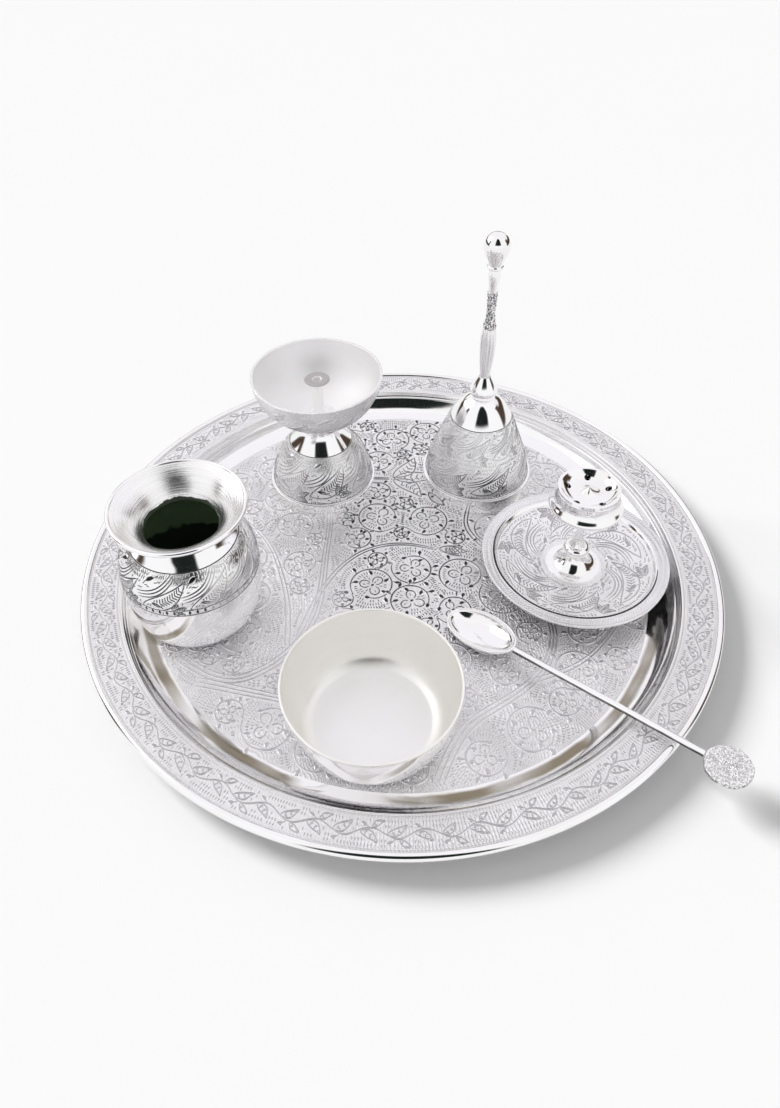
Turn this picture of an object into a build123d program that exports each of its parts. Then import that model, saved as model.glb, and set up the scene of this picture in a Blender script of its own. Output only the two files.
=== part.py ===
from build123d import *
import math
import os

# Puja thali set: a round tray that carries a water pot, an oil lamp, a hand bell with a swinging
# clapper, an incense stand, a small bowl and a spoon. Millimetres, +Z up.
# The origin is the centre of the tray's flat underside, and -Y is the side the spoon points to.
# Outline tables hold pairs of shares: of the piece's radius first, then of its height.

# Fits that all the pieces share
FIT = 0.05
SEAT_GAP = 0.3
OVERRUN = 2.0
LINE_STEPS = 16

# Tray: one spun sheet with a coved wall, a rim that rises a little and a rolled edge
PLATE_R = 127.0
RIM_WIDTH = 15.4
COVE_RUN = 11.3
SHEET = 1.0
RIM_HEIGHT = 8.4
RIM_RISE = 1.1
BEAD_R = 1.5

# Water pot: belly with a flat foot, and a flared neck seamed on top of it
POT_INSET = 18.0
POT_FOOT_R = 17.0
POT_BELLY_R = 25.8
POT_BELLY_H = 46.2
POT_WALL = 1.2
POT_BODY_SHARES = (
    (0.822, 0.054), (0.942, 0.195), (0.996, 0.39), (1.0, 0.584), (0.953, 0.764), (0.806, 0.892),
    (0.659, 0.959), (0.597, 1.0))
NECK_H = 10.8
NECK_LIP_R = 25.0
NECK_THROAT_R = 13.4
NECK_WALL = 1.0
NECK_SHARES = ((0.648, 0.26), (0.776, 0.593))
LIP_BEAD_R = 0.8

# Oil lamp: hollow bell-shaped foot, bowl, wick post in the bowl, and the screw that holds all three
LAMP_INSET = 35.2
LAMP_FOOT_R = 22.9
LAMP_FOOT_H = 36.0
LAMP_FOOT_WALL = 1.8
LAMP_HOLLOW_SHARE = 0.72
LAMP_FOOT_SHARES = (
    (1.0, 0.0), (0.983, 0.167), (0.91, 0.347), (0.775, 0.536), (0.594, 0.672), (0.472, 0.767),
    (0.376, 0.875), (0.358, 1.0))
LAMP_BAND_R = 23.8
LAMP_BAND_H = 4.2
BOWL_R = 27.9
BOWL_H = 22.5
BOWL_FOOT_R = 8.0
BOWL_WALL = 1.2
BOWL_SHARES = ((0.51, 0.12), (0.745, 0.335), (0.91, 0.63), (1.0, 1.0))
WICK_POST_R = 2.4
WICK_POST_H = 18.8
WICK_FLANGE_R = 4.4
WICK_FLANGE_H = 1.6
WICK_HEAD_R = 5.4
WICK_HEAD_H = 3.4
WICK_HEAD_EDGE = 0.8
WICK_BORE_R = 1.8
WICK_BORE_H = 8.0
LAMP_SCREW_R = 1.25
LAMP_SCREW_GRIP = 5.0
LAMP_SCREW_HEAD_R = 3.6
LAMP_SCREW_HEAD_H = 1.6

# Hand bell: cup, collar, handle with a rod at each end, finial, eye nut and clapper
BELL_INSET = 33.8
BELL_WAIST_R = 23.8
BELL_H = 46.5
BELL_WALL = 1.6
BELL_SHARES = (
    (1.0, 0.0), (0.985, 0.12), (0.955, 0.215), (0.888, 0.345), (0.793, 0.485), (0.703, 0.6),
    (0.625, 0.71), (0.54, 0.805), (0.42, 0.905), (0.306, 0.97), (0.21, 1.0))
BELL_BAND_R = 24.5
BELL_BAND_H = 7.0
COLLAR_R = 5.9
COLLAR_SEAT_R = 5.0
COLLAR_H = 10.5
COLLAR_EDGE = 0.8
COLLAR_SHARES = ((1.0, 0.3), (0.9, 0.52), (0.63, 0.8), (0.42, 1.0))
HANDLE_R = 3.15
HANDLE_H = 49.0
HANDLE_SHARES = (
    (0.76, 0.0), (0.9, 0.16), (1.0, 0.37), (0.84, 0.48), (0.62, 0.56), (0.62, 0.72), (0.74, 0.85),
    (0.87, 0.95), (0.79, 1.0))
ROD_R = 1.5
ROD_TOP_H = 5.0
FINIAL_R = 5.1
FINIAL_H = 14.1
FINIAL_RING_R = 3.2
FINIAL_RING_H = 0.9
FINIAL_SHARES = ((0.54, 0.09), (0.66, 0.22), (0.88, 0.42))
NUT_R = 4.0
NUT_H = 2.6
EYE_WIRE_R = 0.9
EYE_HALF_SPAN = 3.4
EYE_DROP = 4.6
CLAPPER_RING_R = 2.0
CLAPPER_WIRE_R = 0.7
CLAPPER_ROD_R = 0.9
CLAPPER_LENGTH = 28.0
CLAPPER_BALL_R = 4.6

# Incense stand: dish with a flange, foot ring, stem with its nut, hollow head and holed cap
STAND_INSET = 29.0
SAUCER_R = 37.5
SAUCER_WALL = 1.0
FLANGE_R = 32.2
FLANGE_H = 8.4
FLANGE_RISE = 0.7
WELL_STEP = 1.3
WELL_STEP_RUN = 0.8
WELL_FLOOR_H = 3.9
WELL_SHARES = ((0.573, 0.2), (0.796, 0.547), (1.0, 1.0))
STAND_FOOT_R = 20.0
STAND_FOOT_WALL = 1.2
STEM_BASE_R = 10.9
STEM_BASE_EDGE = 0.4
TRUMPET_H = 6.9
TRUMPET_SHARES = ((0.752, 0.116), (0.569, 0.304), (0.413, 0.594), (0.294, 1.0))
STEM_BEAD_R = 5.3
STEM_BEAD_H = 4.4
STEM_NECK_R = 2.0
STEM_NECK_SHARES = (0.2, 0.75)
STEM_H = 28.5
STEM_SEAT_R = 3.4
STEM_SEAT_H = 1.4
STUD_R = 1.5
STUD_DROP = 3.5
STAND_NUT_R = 3.4
STAND_NUT_H = 2.2
HEAD_R = 14.2
HEAD_H = 12.1
HEAD_WALL = 1.1
HEAD_FOOT_R = 3.4
HEAD_SHARES = (
    (0.648, 0.074), (0.908, 0.24), (1.0, 0.413), (0.923, 0.57), (0.863, 0.719), (0.845, 0.868),
    (0.838, 1.0))
CAP_R = 11.8
CAP_EDGE_H = 1.3
CAP_WALL = 1.2
CAP_DIP = 2.2
CAP_PLUG_H = 2.4
INCENSE_HOLES = 5
INCENSE_HOLE_R = 1.2
INCENSE_RING_R = 8.0
INCENSE_TURN = 10.0

# Small bowl
KATORI_INSET = 26.1
KATORI_R = 31.2
KATORI_H = 24.0
KATORI_FOOT_R = 21.0
KATORI_WALL = 1.1
KATORI_SHARES = ((0.8, 0.085), (0.89, 0.33), (0.955, 0.66), (1.0, 1.0))

# Spoon: hollowed oval bowl, round stem and end disc, leaning on the tray's rolled edge
SPOON_TURN = 8.7
SPOON_CLEAR = 1.2
SPOON_HALF_LENGTH = 14.8
SPOON_HALF_WIDTH = 8.8
SPOON_DEPTH = 5.2
SPOON_WALL = 0.9
SPOON_STEM_R = 1.25
SPOON_REACH = 95.0
SPOON_DISC_R = 7.7
SPOON_DISC_H = 1.5

# Round the tray: the insets above are from the floor's edge to each vessel's axis. Neighbours keep the
# gap, and the circle's spare angle is shared out between them, counted from the incense stand.
STAND_BEARING = -2.4
NEIGHBOUR_GAP = 1.0
SPARE_ANGLE_SHARES = (0.044, 0.175, 0.331, 0.238)

# Cylinders that stand on their place
STANDING = (Align.CENTER, Align.CENTER, Align.MIN)

os.makedirs("parts", exist_ok=True)


def outline(points):
    """Smooth line through (radius, height) points in the half plane beside the axis."""
    return Spline(*[(radius, 0, height) for radius, height in points])


def scaled(shares, radius, height):
    """Points whose radius and height are the given shares of two sizes."""
    return [(radius_share * radius, height_share * height) for radius_share, height_share in shares]


def set_in(line, wall, stop=1.0):
    """Points of an upward line moved by the wall towards the axis, square to the line."""
    moved = []
    for step in range(LINE_STEPS + 1):
        along = stop * step / LINE_STEPS
        tangent = line % along
        moved.append(line @ along + Vector(-tangent.Z, 0, tangent.X) * wall)
    return moved


def turned(edges):
    """Solid turned about the axis from the closed outline of these edges."""
    return revolve(make_face(edges), Axis.Z)


def turned_polygon(points):
    """Solid turned about the axis from straight (radius, height) runs."""
    return turned([Polyline(*[(radius, 0, height) for radius, height in points], close=True)])


def ring(inner, outer, low, high):
    """Plain round band between two radii and two heights."""
    return turned_polygon([(inner, low), (outer, low), (outer, high), (inner, high)])


def drilled(solid, radius, low, high):
    """The solid with a round hole on the axis, open at both heights."""
    return solid - ring(0, radius, low - OVERRUN, high + OVERRUN)


def footed_shell(foot_r, points, wall):
    """Open vessel: flat foot, smooth outside, and a wall and floor of one thickness."""
    outer = outline([(foot_r, 0)] + points)
    inner = Spline(Vector(foot_r - wall, 0, wall), *set_in(outer, wall)[1:])
    bottom = Polyline((foot_r, 0, 0), (0, 0, 0), (0, 0, wall), (foot_r - wall, 0, wall))
    return turned([outer, Line(outer @ 1, inner @ 1), inner, bottom])


def lining(outer, wall, stop=1.0):
    """Inner line of a downward-opening shell, level with the outer line at its mouth."""
    mouth = outer @ 0
    return Spline((mouth.X - wall, 0, mouth.Z), *set_in(outer, wall, stop)[1:])


def open_shell(outer, inner):
    """Downward-opening shell between an outer and an inner line, closed flat across its top."""
    top = Polyline(outer @ 1, (0, 0, (outer @ 1).Z), (0, 0, (inner @ 1).Z), inner @ 1)
    return turned([outer, top, inner, Line(inner @ 0, outer @ 0)])


def save(name, solid, x=0, y=0, z=0):
    """Move a finished piece to its place on the tray and write it under its name."""
    placed = Pos(x, y, z) * solid
    placed.label = name
    export_step(placed, f"parts/{name}.step")


# Tray: floor, cove and rim are one sheet, and the rolled edge is fused to the rim's end
floor_r = PLATE_R - RIM_WIDTH - COVE_RUN
cove_angle = 2 * math.atan2(RIM_HEIGHT, COVE_RUN)
cove_r = COVE_RUN / math.sin(cove_angle)
cove_z = SHEET + cove_r
under_angle = math.acos((cove_z - RIM_HEIGHT) / (cove_r + SHEET))
bead_ring_r = PLATE_R - BEAD_R
rim_edge_z = SHEET + RIM_HEIGHT + RIM_RISE
bead_z = rim_edge_z - SHEET / 2
bead_top_z = bead_z + BEAD_R


def cove_point(radius, angle):
    """Point of the cove at an angle from straight down."""
    return (floor_r + radius * math.sin(angle), 0, cove_z - radius * math.cos(angle))


cove_over = ThreePointArc(
    cove_point(cove_r, 0), cove_point(cove_r, cove_angle / 2), cove_point(cove_r, cove_angle))
cove_under = ThreePointArc(
    cove_point(cove_r + SHEET, under_angle),
    cove_point(cove_r + SHEET, under_angle / 2),
    cove_point(cove_r + SHEET, 0))
rim_run = Polyline(
    cove_over @ 1, (bead_ring_r, 0, rim_edge_z), (bead_ring_r, 0, rim_edge_z - SHEET), cove_under @ 0)
floor_run = Polyline(cove_under @ 1, (0, 0, 0), (0, 0, SHEET), cove_over @ 0)
bead = revolve(Plane.XZ * Pos(bead_ring_r, bead_z) * Circle(BEAD_R), Axis.Z)
save("thali_plate", turned([cove_over, rim_run, cove_under, floor_run]) + bead)

# Places round the tray, as (distance of the axis, widest radius) in the order of their bearings
stand_spot = (floor_r - STAND_INSET, SAUCER_R)
bell_spot = (floor_r - BELL_INSET, BELL_BAND_R)
lamp_spot = (floor_r - LAMP_INSET, BOWL_R)
pot_spot = (floor_r - POT_INSET, max(POT_BELLY_R, NECK_LIP_R))
katori_spot = (floor_r - KATORI_INSET, KATORI_R)
spoon_room = 2 * (SPOON_HALF_WIDTH + SPOON_CLEAR)


def needed_angle(first, second, room):
    """Angle at the tray's middle between two vessels whose widest circles are this room apart."""
    apart = first[1] + second[1] + room
    return math.acos((first[0]**2 + second[0]**2 - apart**2) / (2 * first[0] * second[0]))


def spot_place(spot, bearing):
    """Place of a vessel's axis on the tray's floor."""
    return (spot[0] * math.cos(bearing), spot[0] * math.sin(bearing))


needed_angles = [
    needed_angle(stand_spot, bell_spot, NEIGHBOUR_GAP),
    needed_angle(bell_spot, lamp_spot, NEIGHBOUR_GAP),
    needed_angle(lamp_spot, pot_spot, NEIGHBOUR_GAP),
    needed_angle(pot_spot, katori_spot, NEIGHBOUR_GAP)]
spoon_angle = needed_angle(katori_spot, stand_spot, NEIGHBOUR_GAP + spoon_room)
spare_angle = 2 * math.pi - sum(needed_angles) - spoon_angle
bearings = [math.radians(STAND_BEARING)]
for needed, spare_share in zip(needed_angles, SPARE_ANGLE_SHARES):
    bearings.append(bearings[-1] + needed + spare_share * spare_angle)
stand_x, stand_y = spot_place(stand_spot, bearings[0])
bell_x, bell_y = spot_place(bell_spot, bearings[1])
lamp_x, lamp_y = spot_place(lamp_spot, bearings[2])
pot_x, pot_y = spot_place(pot_spot, bearings[3])
katori_x, katori_y = spot_place(katori_spot, bearings[4])

# Water pot: the neck's foot meets the belly's top edge, and its lip ends in a rolled bead
pot_points = scaled(POT_BODY_SHARES, POT_BELLY_R, POT_BELLY_H)
pot_mouth_r = pot_points[-1][0]
save("kalash_body", footed_shell(POT_FOOT_R, pot_points, POT_WALL), pot_x, pot_y, SHEET)
lip_ring_r = NECK_LIP_R - LIP_BEAD_R
lip_z = NECK_H - LIP_BEAD_R
neck_points = scaled(NECK_SHARES, NECK_LIP_R, NECK_H)
neck_outer = outline([(pot_mouth_r, 0)] + neck_points + [(lip_ring_r, lip_z)])
neck_set_in = set_in(neck_outer, NECK_WALL)
neck_inner = Spline((NECK_THROAT_R, 0, 0), *neck_set_in[LINE_STEPS // 4:])
neck_ends = [Line(neck_outer @ 1, neck_inner @ 1), Line(neck_inner @ 0, neck_outer @ 0)]
neck = turned([neck_outer, neck_inner] + neck_ends)
lip_bead = revolve(Plane.XZ * Pos(lip_ring_r, lip_z) * Circle(LIP_BEAD_R), Axis.Z)
save("kalash_neck", neck + lip_bead, pot_x, pot_y, SHEET + POT_BELLY_H)

# Oil lamp: the screw runs up through the foot's hub and the bowl's floor into the wick post
foot_outer = outline(scaled(LAMP_FOOT_SHARES, LAMP_FOOT_R, LAMP_FOOT_H))
foot_inner = lining(foot_outer, LAMP_FOOT_WALL, LAMP_HOLLOW_SHARE)
hub_z = (foot_inner @ 1).Z
foot_band = ring(LAMP_FOOT_R - LAMP_FOOT_WALL / 2, LAMP_BAND_R, 0, LAMP_BAND_H)
lamp_foot = open_shell(foot_outer, foot_inner) + foot_band
save("lamp_foot", drilled(lamp_foot, LAMP_SCREW_R + FIT, hub_z, LAMP_FOOT_H), lamp_x, lamp_y, SHEET)
bowl_z = SHEET + LAMP_FOOT_H
lamp_bowl = footed_shell(BOWL_FOOT_R, scaled(BOWL_SHARES, BOWL_R, BOWL_H), BOWL_WALL)
save("lamp_bowl", drilled(lamp_bowl, LAMP_SCREW_R + FIT, 0, BOWL_WALL), lamp_x, lamp_y, bowl_z)
wick_post = turned_polygon([
    (0, 0), (WICK_FLANGE_R, 0), (WICK_FLANGE_R, WICK_FLANGE_H), (WICK_POST_R, WICK_FLANGE_H),
    (WICK_POST_R, WICK_POST_H - WICK_HEAD_H), (WICK_HEAD_R, WICK_POST_H - WICK_HEAD_EDGE),
    (WICK_HEAD_R, WICK_POST_H), (0, WICK_POST_H)])
wick_post -= ring(0, WICK_BORE_R, WICK_POST_H - WICK_BORE_H, WICK_POST_H + OVERRUN)
wick_post -= ring(0, LAMP_SCREW_R + FIT, -OVERRUN, LAMP_SCREW_GRIP + FIT)
save("lamp_wick_post", wick_post, lamp_x, lamp_y, bowl_z + BOWL_WALL)
screw_end = LAMP_FOOT_H + BOWL_WALL + LAMP_SCREW_GRIP
screw_head = ring(0, LAMP_SCREW_HEAD_R, hub_z - LAMP_SCREW_HEAD_H, hub_z)
lamp_screw = screw_head + ring(0, LAMP_SCREW_R, hub_z, screw_end)
save("lamp_screw", lamp_screw, lamp_x, lamp_y, SHEET)

# Hand bell: the handle's lower rod passes the collar and the crown, and the eye nut holds it inside
bell_outer = outline(scaled(BELL_SHARES, BELL_WAIST_R, BELL_H))
bell_inner = lining(bell_outer, BELL_WALL)
crown_z = (bell_inner @ 1).Z
bell_band = ring(BELL_WAIST_R - BELL_WALL / 2, BELL_BAND_R, 0, BELL_BAND_H)
bell_cup = open_shell(bell_outer, bell_inner) + bell_band
save("bell_cup", drilled(bell_cup, ROD_R + FIT, crown_z, BELL_H), bell_x, bell_y, SHEET)
collar_side = outline([(COLLAR_SEAT_R, COLLAR_EDGE)] + scaled(COLLAR_SHARES, COLLAR_R, COLLAR_H))
collar_core = Polyline(
    collar_side @ 1, (0, 0, COLLAR_H), (0, 0, 0), (COLLAR_SEAT_R, 0, 0), collar_side @ 0)
collar = drilled(turned([collar_side, collar_core]), ROD_R + FIT, 0, COLLAR_H)
save("bell_collar", collar, bell_x, bell_y, SHEET + BELL_H)
handle_side = outline(scaled(HANDLE_SHARES, HANDLE_R, HANDLE_H))
handle_core = Polyline(handle_side @ 1, (0, 0, HANDLE_H), (0, 0, 0), handle_side @ 0)
rod_low = -(COLLAR_H + BELL_H - crown_z + NUT_H)
rod = ring(0, ROD_R, rod_low, HANDLE_H + ROD_TOP_H)
handle_z = SHEET + BELL_H + COLLAR_H
save("bell_handle", turned([handle_side, handle_core]) + rod, bell_x, bell_y, handle_z)
ball_z = FINIAL_H - FINIAL_R
finial_points = scaled(FINIAL_SHARES, FINIAL_R, FINIAL_H)
finial_side = outline([(FINIAL_RING_R, FINIAL_RING_H)] + finial_points + [(FINIAL_R, ball_z)])
half_turn = FINIAL_R * math.sqrt(0.5)
finial_top = ThreePointArc((FINIAL_R, 0, ball_z), (half_turn, 0, ball_z + half_turn), (0, 0, FINIAL_H))
finial_core = Polyline(finial_top @ 1, (0, 0, 0), (FINIAL_RING_R, 0, 0), finial_side @ 0)
finial = turned([finial_side, finial_top, finial_core]) - ring(0, ROD_R + FIT, -OVERRUN, ROD_TOP_H + FIT)
save("bell_finial", finial, bell_x, bell_y, handle_z + HANDLE_H)
nut_z = crown_z - NUT_H
eye_z = nut_z - EYE_DROP
eye_nut = drilled(ring(0, NUT_R, nut_z, crown_z), ROD_R + FIT, nut_z, crown_z)
eye_leg = Cylinder(EYE_WIRE_R, nut_z + FIT - eye_z, align=STANDING) + Sphere(EYE_WIRE_R)
for side in (-1, 1):
    eye_nut += Pos(side * EYE_HALF_SPAN, 0, eye_z) * eye_leg
eye_nut += Pos(0, 0, eye_z) * Rot(0, 90, 0) * Cylinder(EYE_WIRE_R, 2 * EYE_HALF_SPAN)
save("bell_eye_nut", eye_nut, bell_x, bell_y, SHEET)
clapper = Rot(0, 90, 0) * Torus(CLAPPER_RING_R, CLAPPER_WIRE_R)
clapper_rod = Cylinder(CLAPPER_ROD_R, CLAPPER_LENGTH - CLAPPER_RING_R, align=STANDING)
clapper += Pos(0, 0, -CLAPPER_LENGTH) * clapper_rod
clapper += Pos(0, 0, -CLAPPER_LENGTH) * Sphere(CLAPPER_BALL_R)
save("bell_clapper", clapper, bell_x, bell_y, SHEET + eye_z)

# Incense stand: the dish stands on its foot ring, and the stem's stud and nut hold the stem to its floor
flange_edge_z = FLANGE_H + FLANGE_RISE
well_edge_r = FLANGE_R - WELL_STEP_RUN
well_rises = scaled(WELL_SHARES, well_edge_r, FLANGE_H - WELL_STEP - WELL_FLOOR_H)
well_points = [(STEM_BASE_R, WELL_FLOOR_H)] + [(radius, WELL_FLOOR_H + rise) for radius, rise in well_rises]
well_over = outline(well_points)
well_under = outline([(radius, height - SAUCER_WALL) for radius, height in well_points])
flange_run = Polyline(
    well_over @ 1, (FLANGE_R, 0, FLANGE_H), (SAUCER_R, 0, flange_edge_z),
    (SAUCER_R, 0, flange_edge_z - SAUCER_WALL), (FLANGE_R + SAUCER_WALL / 2, 0, FLANGE_H - SAUCER_WALL),
    well_under @ 1)
well_middle = Polyline(
    well_under @ 0, (0, 0, WELL_FLOOR_H - SAUCER_WALL), (0, 0, WELL_FLOOR_H), well_over @ 0)
saucer = turned([well_over, flange_run, well_under, well_middle])
saucer = drilled(saucer, STUD_R + FIT, WELL_FLOOR_H - SAUCER_WALL, WELL_FLOOR_H)
save("incense_saucer", saucer, stand_x, stand_y, SHEET)
room_top = FLANGE_H + OVERRUN
dish_room = turned([well_under, Polyline(
    well_under @ 1, (well_edge_r, 0, room_top), (STEM_BASE_R, 0, room_top), well_under @ 0)])
foot_ring = ring(STAND_FOOT_R - STAND_FOOT_WALL, STAND_FOOT_R, 0, FLANGE_H)
save("incense_foot", foot_ring - dish_room, stand_x, stand_y, SHEET)
stem_z = SHEET + WELL_FLOOR_H
trumpet = outline([(STEM_BASE_R, STEM_BASE_EDGE)] + scaled(TRUMPET_SHARES, STEM_BASE_R, TRUMPET_H))
stem_foot_r = (trumpet @ 1).X
stem_bead_top = TRUMPET_H + STEM_BEAD_H
bead_side = ThreePointArc(
    trumpet @ 1, (STEM_BEAD_R, 0, TRUMPET_H + STEM_BEAD_H / 2), (stem_foot_r, 0, stem_bead_top))
stem_neck_run = STEM_H - STEM_SEAT_H - stem_bead_top
stem_neck_points = [
    (STEM_NECK_R, stem_bead_top + share * stem_neck_run) for share in STEM_NECK_SHARES]
neck_side = outline(
    [(stem_foot_r, stem_bead_top)] + stem_neck_points + [(STEM_SEAT_R, STEM_H - STEM_SEAT_H)])
stem_core = Polyline(
    neck_side @ 1, (STEM_SEAT_R, 0, STEM_H), (0, 0, STEM_H), (0, 0, 0), (STEM_BASE_R, 0, 0), trumpet @ 0)
stud = ring(0, STUD_R, -STUD_DROP, STEM_H + HEAD_WALL)
stem = turned([trumpet, bead_side, neck_side, stem_core]) + stud
save("incense_stem", stem, stand_x, stand_y, stem_z)
stand_nut = drilled(ring(0, STAND_NUT_R, -STAND_NUT_H, 0), STUD_R + FIT, -STAND_NUT_H, 0)
save("incense_nut", stand_nut, stand_x, stand_y, stem_z - SAUCER_WALL)
head = footed_shell(HEAD_FOOT_R, scaled(HEAD_SHARES, HEAD_R, HEAD_H), HEAD_WALL)
save("incense_head", drilled(head, STUD_R + FIT, 0, HEAD_WALL), stand_x, stand_y, stem_z + STEM_H)
cap_plug_r = HEAD_SHARES[-1][0] * HEAD_R - HEAD_WALL - FIT
cap_valley = (INCENSE_RING_R, CAP_EDGE_H - CAP_DIP)
cap_over = outline([(CAP_R - CAP_WALL, CAP_EDGE_H), cap_valley, (0, CAP_EDGE_H)])
cap_plug_z = CAP_EDGE_H - CAP_DIP - CAP_PLUG_H
cap_side = Polyline(
    cap_over @ 0, (CAP_R, 0, CAP_EDGE_H), (CAP_R, 0, 0), (cap_plug_r, 0, 0),
    (cap_plug_r, 0, cap_plug_z), (0, 0, cap_plug_z), cap_over @ 1)
cap = turned([cap_over, cap_side])
hole = Cylinder(INCENSE_HOLE_R, CAP_EDGE_H - cap_plug_z + OVERRUN, align=STANDING)
for spot in range(INCENSE_HOLES):
    turn = INCENSE_TURN + 360 * spot / INCENSE_HOLES
    cap -= Rot(0, 0, turn) * Pos(INCENSE_RING_R, 0, cap_plug_z - OVERRUN / 2) * hole
save("incense_cap", cap, stand_x, stand_y, stem_z + STEM_H + HEAD_H)

# Small bowl
katori = footed_shell(KATORI_FOOT_R, scaled(KATORI_SHARES, KATORI_R, KATORI_H), KATORI_WALL)
save("katori_bowl", katori, katori_x, katori_y, SHEET)

# Spoon: it lies midway between the small bowl and the incense stand and points out between them. It is
# built about the middle of its bowl's rim, and tipped so that its stem clears the rolled edge.
spoon_x = (katori_x + stand_x) / 2
spoon_y = (katori_y + stand_y) / 2
outward = math.atan2(katori_x - stand_x, stand_y - katori_y)
heading = outward + math.radians(SPOON_TURN)
to_edge = spoon_x * math.cos(heading) + spoon_y * math.sin(heading)
spoon_from_centre = spoon_x**2 + spoon_y**2
edge_run = math.sqrt(to_edge**2 - spoon_from_centre + bead_ring_r**2) - to_edge
lean_rise = bead_top_z + 2 * SPOON_STEM_R - SHEET - SPOON_DEPTH
lean = math.atan2(lean_rise, edge_run)
rim_lift = math.hypot(SPOON_HALF_LENGTH * math.sin(lean), SPOON_DEPTH * math.cos(lean))
spoon_turn = Rot(0, 0, math.degrees(heading)) * Rot(0, -math.degrees(lean), 0)
spoon_place = Pos(spoon_x, spoon_y, SHEET + SEAT_GAP + rim_lift) * spoon_turn


def half_egg(half_length, half_width, depth):
    """Lower half of an egg-shaped solid, below the plane of the spoon's rim."""
    egg = scale(Sphere(1), by=(half_length, half_width, depth))
    return split(egg, Plane.XY, keep=Keep.BOTTOM)


spoon_bowl = half_egg(SPOON_HALF_LENGTH, SPOON_HALF_WIDTH, SPOON_DEPTH)
spoon_bowl -= half_egg(
    SPOON_HALF_LENGTH - SPOON_WALL, SPOON_HALF_WIDTH - SPOON_WALL, SPOON_DEPTH - SPOON_WALL)
save("spoon_bowl", spoon_place * spoon_bowl)
stem_run = SPOON_REACH - SPOON_HALF_LENGTH - SPOON_DISC_R
stem_middle = Pos(SPOON_HALF_LENGTH + stem_run / 2, 0, -SPOON_STEM_R)
save("spoon_stem", spoon_place * stem_middle * Rot(0, 90, 0) * Cylinder(SPOON_STEM_R, stem_run))
disc_middle = Pos(SPOON_REACH, 0, -SPOON_STEM_R)
save("spoon_disc", spoon_place * disc_middle * Cylinder(SPOON_DISC_R, SPOON_DISC_H))
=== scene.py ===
import bpy
import numpy as np
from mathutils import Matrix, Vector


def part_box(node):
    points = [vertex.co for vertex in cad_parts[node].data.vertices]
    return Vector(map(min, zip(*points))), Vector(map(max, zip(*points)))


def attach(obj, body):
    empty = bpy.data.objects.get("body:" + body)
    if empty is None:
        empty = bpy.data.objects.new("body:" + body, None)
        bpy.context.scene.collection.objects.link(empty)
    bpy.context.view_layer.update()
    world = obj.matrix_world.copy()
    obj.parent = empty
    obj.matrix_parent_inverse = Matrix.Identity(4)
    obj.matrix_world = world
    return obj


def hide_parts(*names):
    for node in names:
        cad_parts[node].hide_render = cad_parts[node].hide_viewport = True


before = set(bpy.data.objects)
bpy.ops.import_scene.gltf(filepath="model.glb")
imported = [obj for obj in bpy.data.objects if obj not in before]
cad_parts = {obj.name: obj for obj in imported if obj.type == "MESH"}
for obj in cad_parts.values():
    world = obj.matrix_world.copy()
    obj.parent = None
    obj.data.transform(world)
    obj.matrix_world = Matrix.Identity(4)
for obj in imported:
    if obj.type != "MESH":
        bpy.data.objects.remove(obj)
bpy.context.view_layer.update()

# Tray. One disc of brass sheet spun into a dish with a coved wall, a broad rim and a rolled edge, then
# silver plated. The wall and the edge are polished bright, and turned lines set off the rim's band.
# All the sizes below are in millimetres, and a mesh takes them in metres.
MM = 0.001
SHEET = 1.0
FLOOR_R = 100.3
WALL_TOP_R = 111.6
WALL_TOP_Z = 9.4
RIM_EDGE_Z = 10.5
BEAD_R = 1.5
EASE = 0.3
MEETING = 1e-6
TRAY_STEPS = 400
RIM_GROOVES = (112.8, 123.9)
GROOVE_DEPTH = 0.24
GROOVE_WIDTH = 0.24
WALL_GROOVE_SHARES = (0.8, 0.9)
WALL_GROOVE_WIDTH = 0.012
SILVER = (0.95, 0.94, 0.955, 1.0)
WARM_SILVER = (0.92, 0.91, 0.90, 1.0)
STROKE_TONE_AND_SHADE = (0.79, 0.78, 0.79, 1.0)
STROKE_STEP = 1.05
STROKE_LENGTH = 2.2
REFLECTION_BAND_R = (101.6, 105.4)
REFLECTION_BAND_EDGE = 0.7
REFLECTION_BAND_FADE = 55.0
COVE_REFLECTION_BROWN = (0.27, 0.235, 0.175, 1.0)


def turned_box(node):
    """Axis place, lowest height, radius and height of a turned node, in millimetres."""
    low, high = (np.array(corner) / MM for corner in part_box(node))
    middle = (low + high) / 2
    return middle[:2], low[2], (high[0] - low[0]) / 2, high[2] - low[2]


def straight(start, end, steps=2):
    """Points at equal steps from start to end."""
    return np.linspace(np.asarray(start, float), np.asarray(end, float), steps)


def arc(centre, radius, first, last, steps=24):
    """Points of a circle from one angle to another, in degrees: centre + radius (cos a, sin a)."""
    angle = np.radians(np.linspace(first, last, steps))
    return np.asarray(centre) + np.asarray(radius)[..., None] * np.stack([np.cos(angle), np.sin(angle)], -1)


def lengths_along(points):
    """Length along a line of points, from its start to each point."""
    return np.concatenate([[0], np.cumsum(np.linalg.norm(np.diff(points, axis=0), axis=1))])


def cut_back(run, start, end):
    """A run of points without a length at its start and at its end."""
    along = lengths_along(run)
    first, last = start, along[-1] - end
    kept = along[(along > first) & (along < last)]
    places = np.concatenate([[first], kept, [last]])
    return np.stack([np.interp(places, along, run[:, axis]) for axis in (0, 1)], -1)


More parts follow.
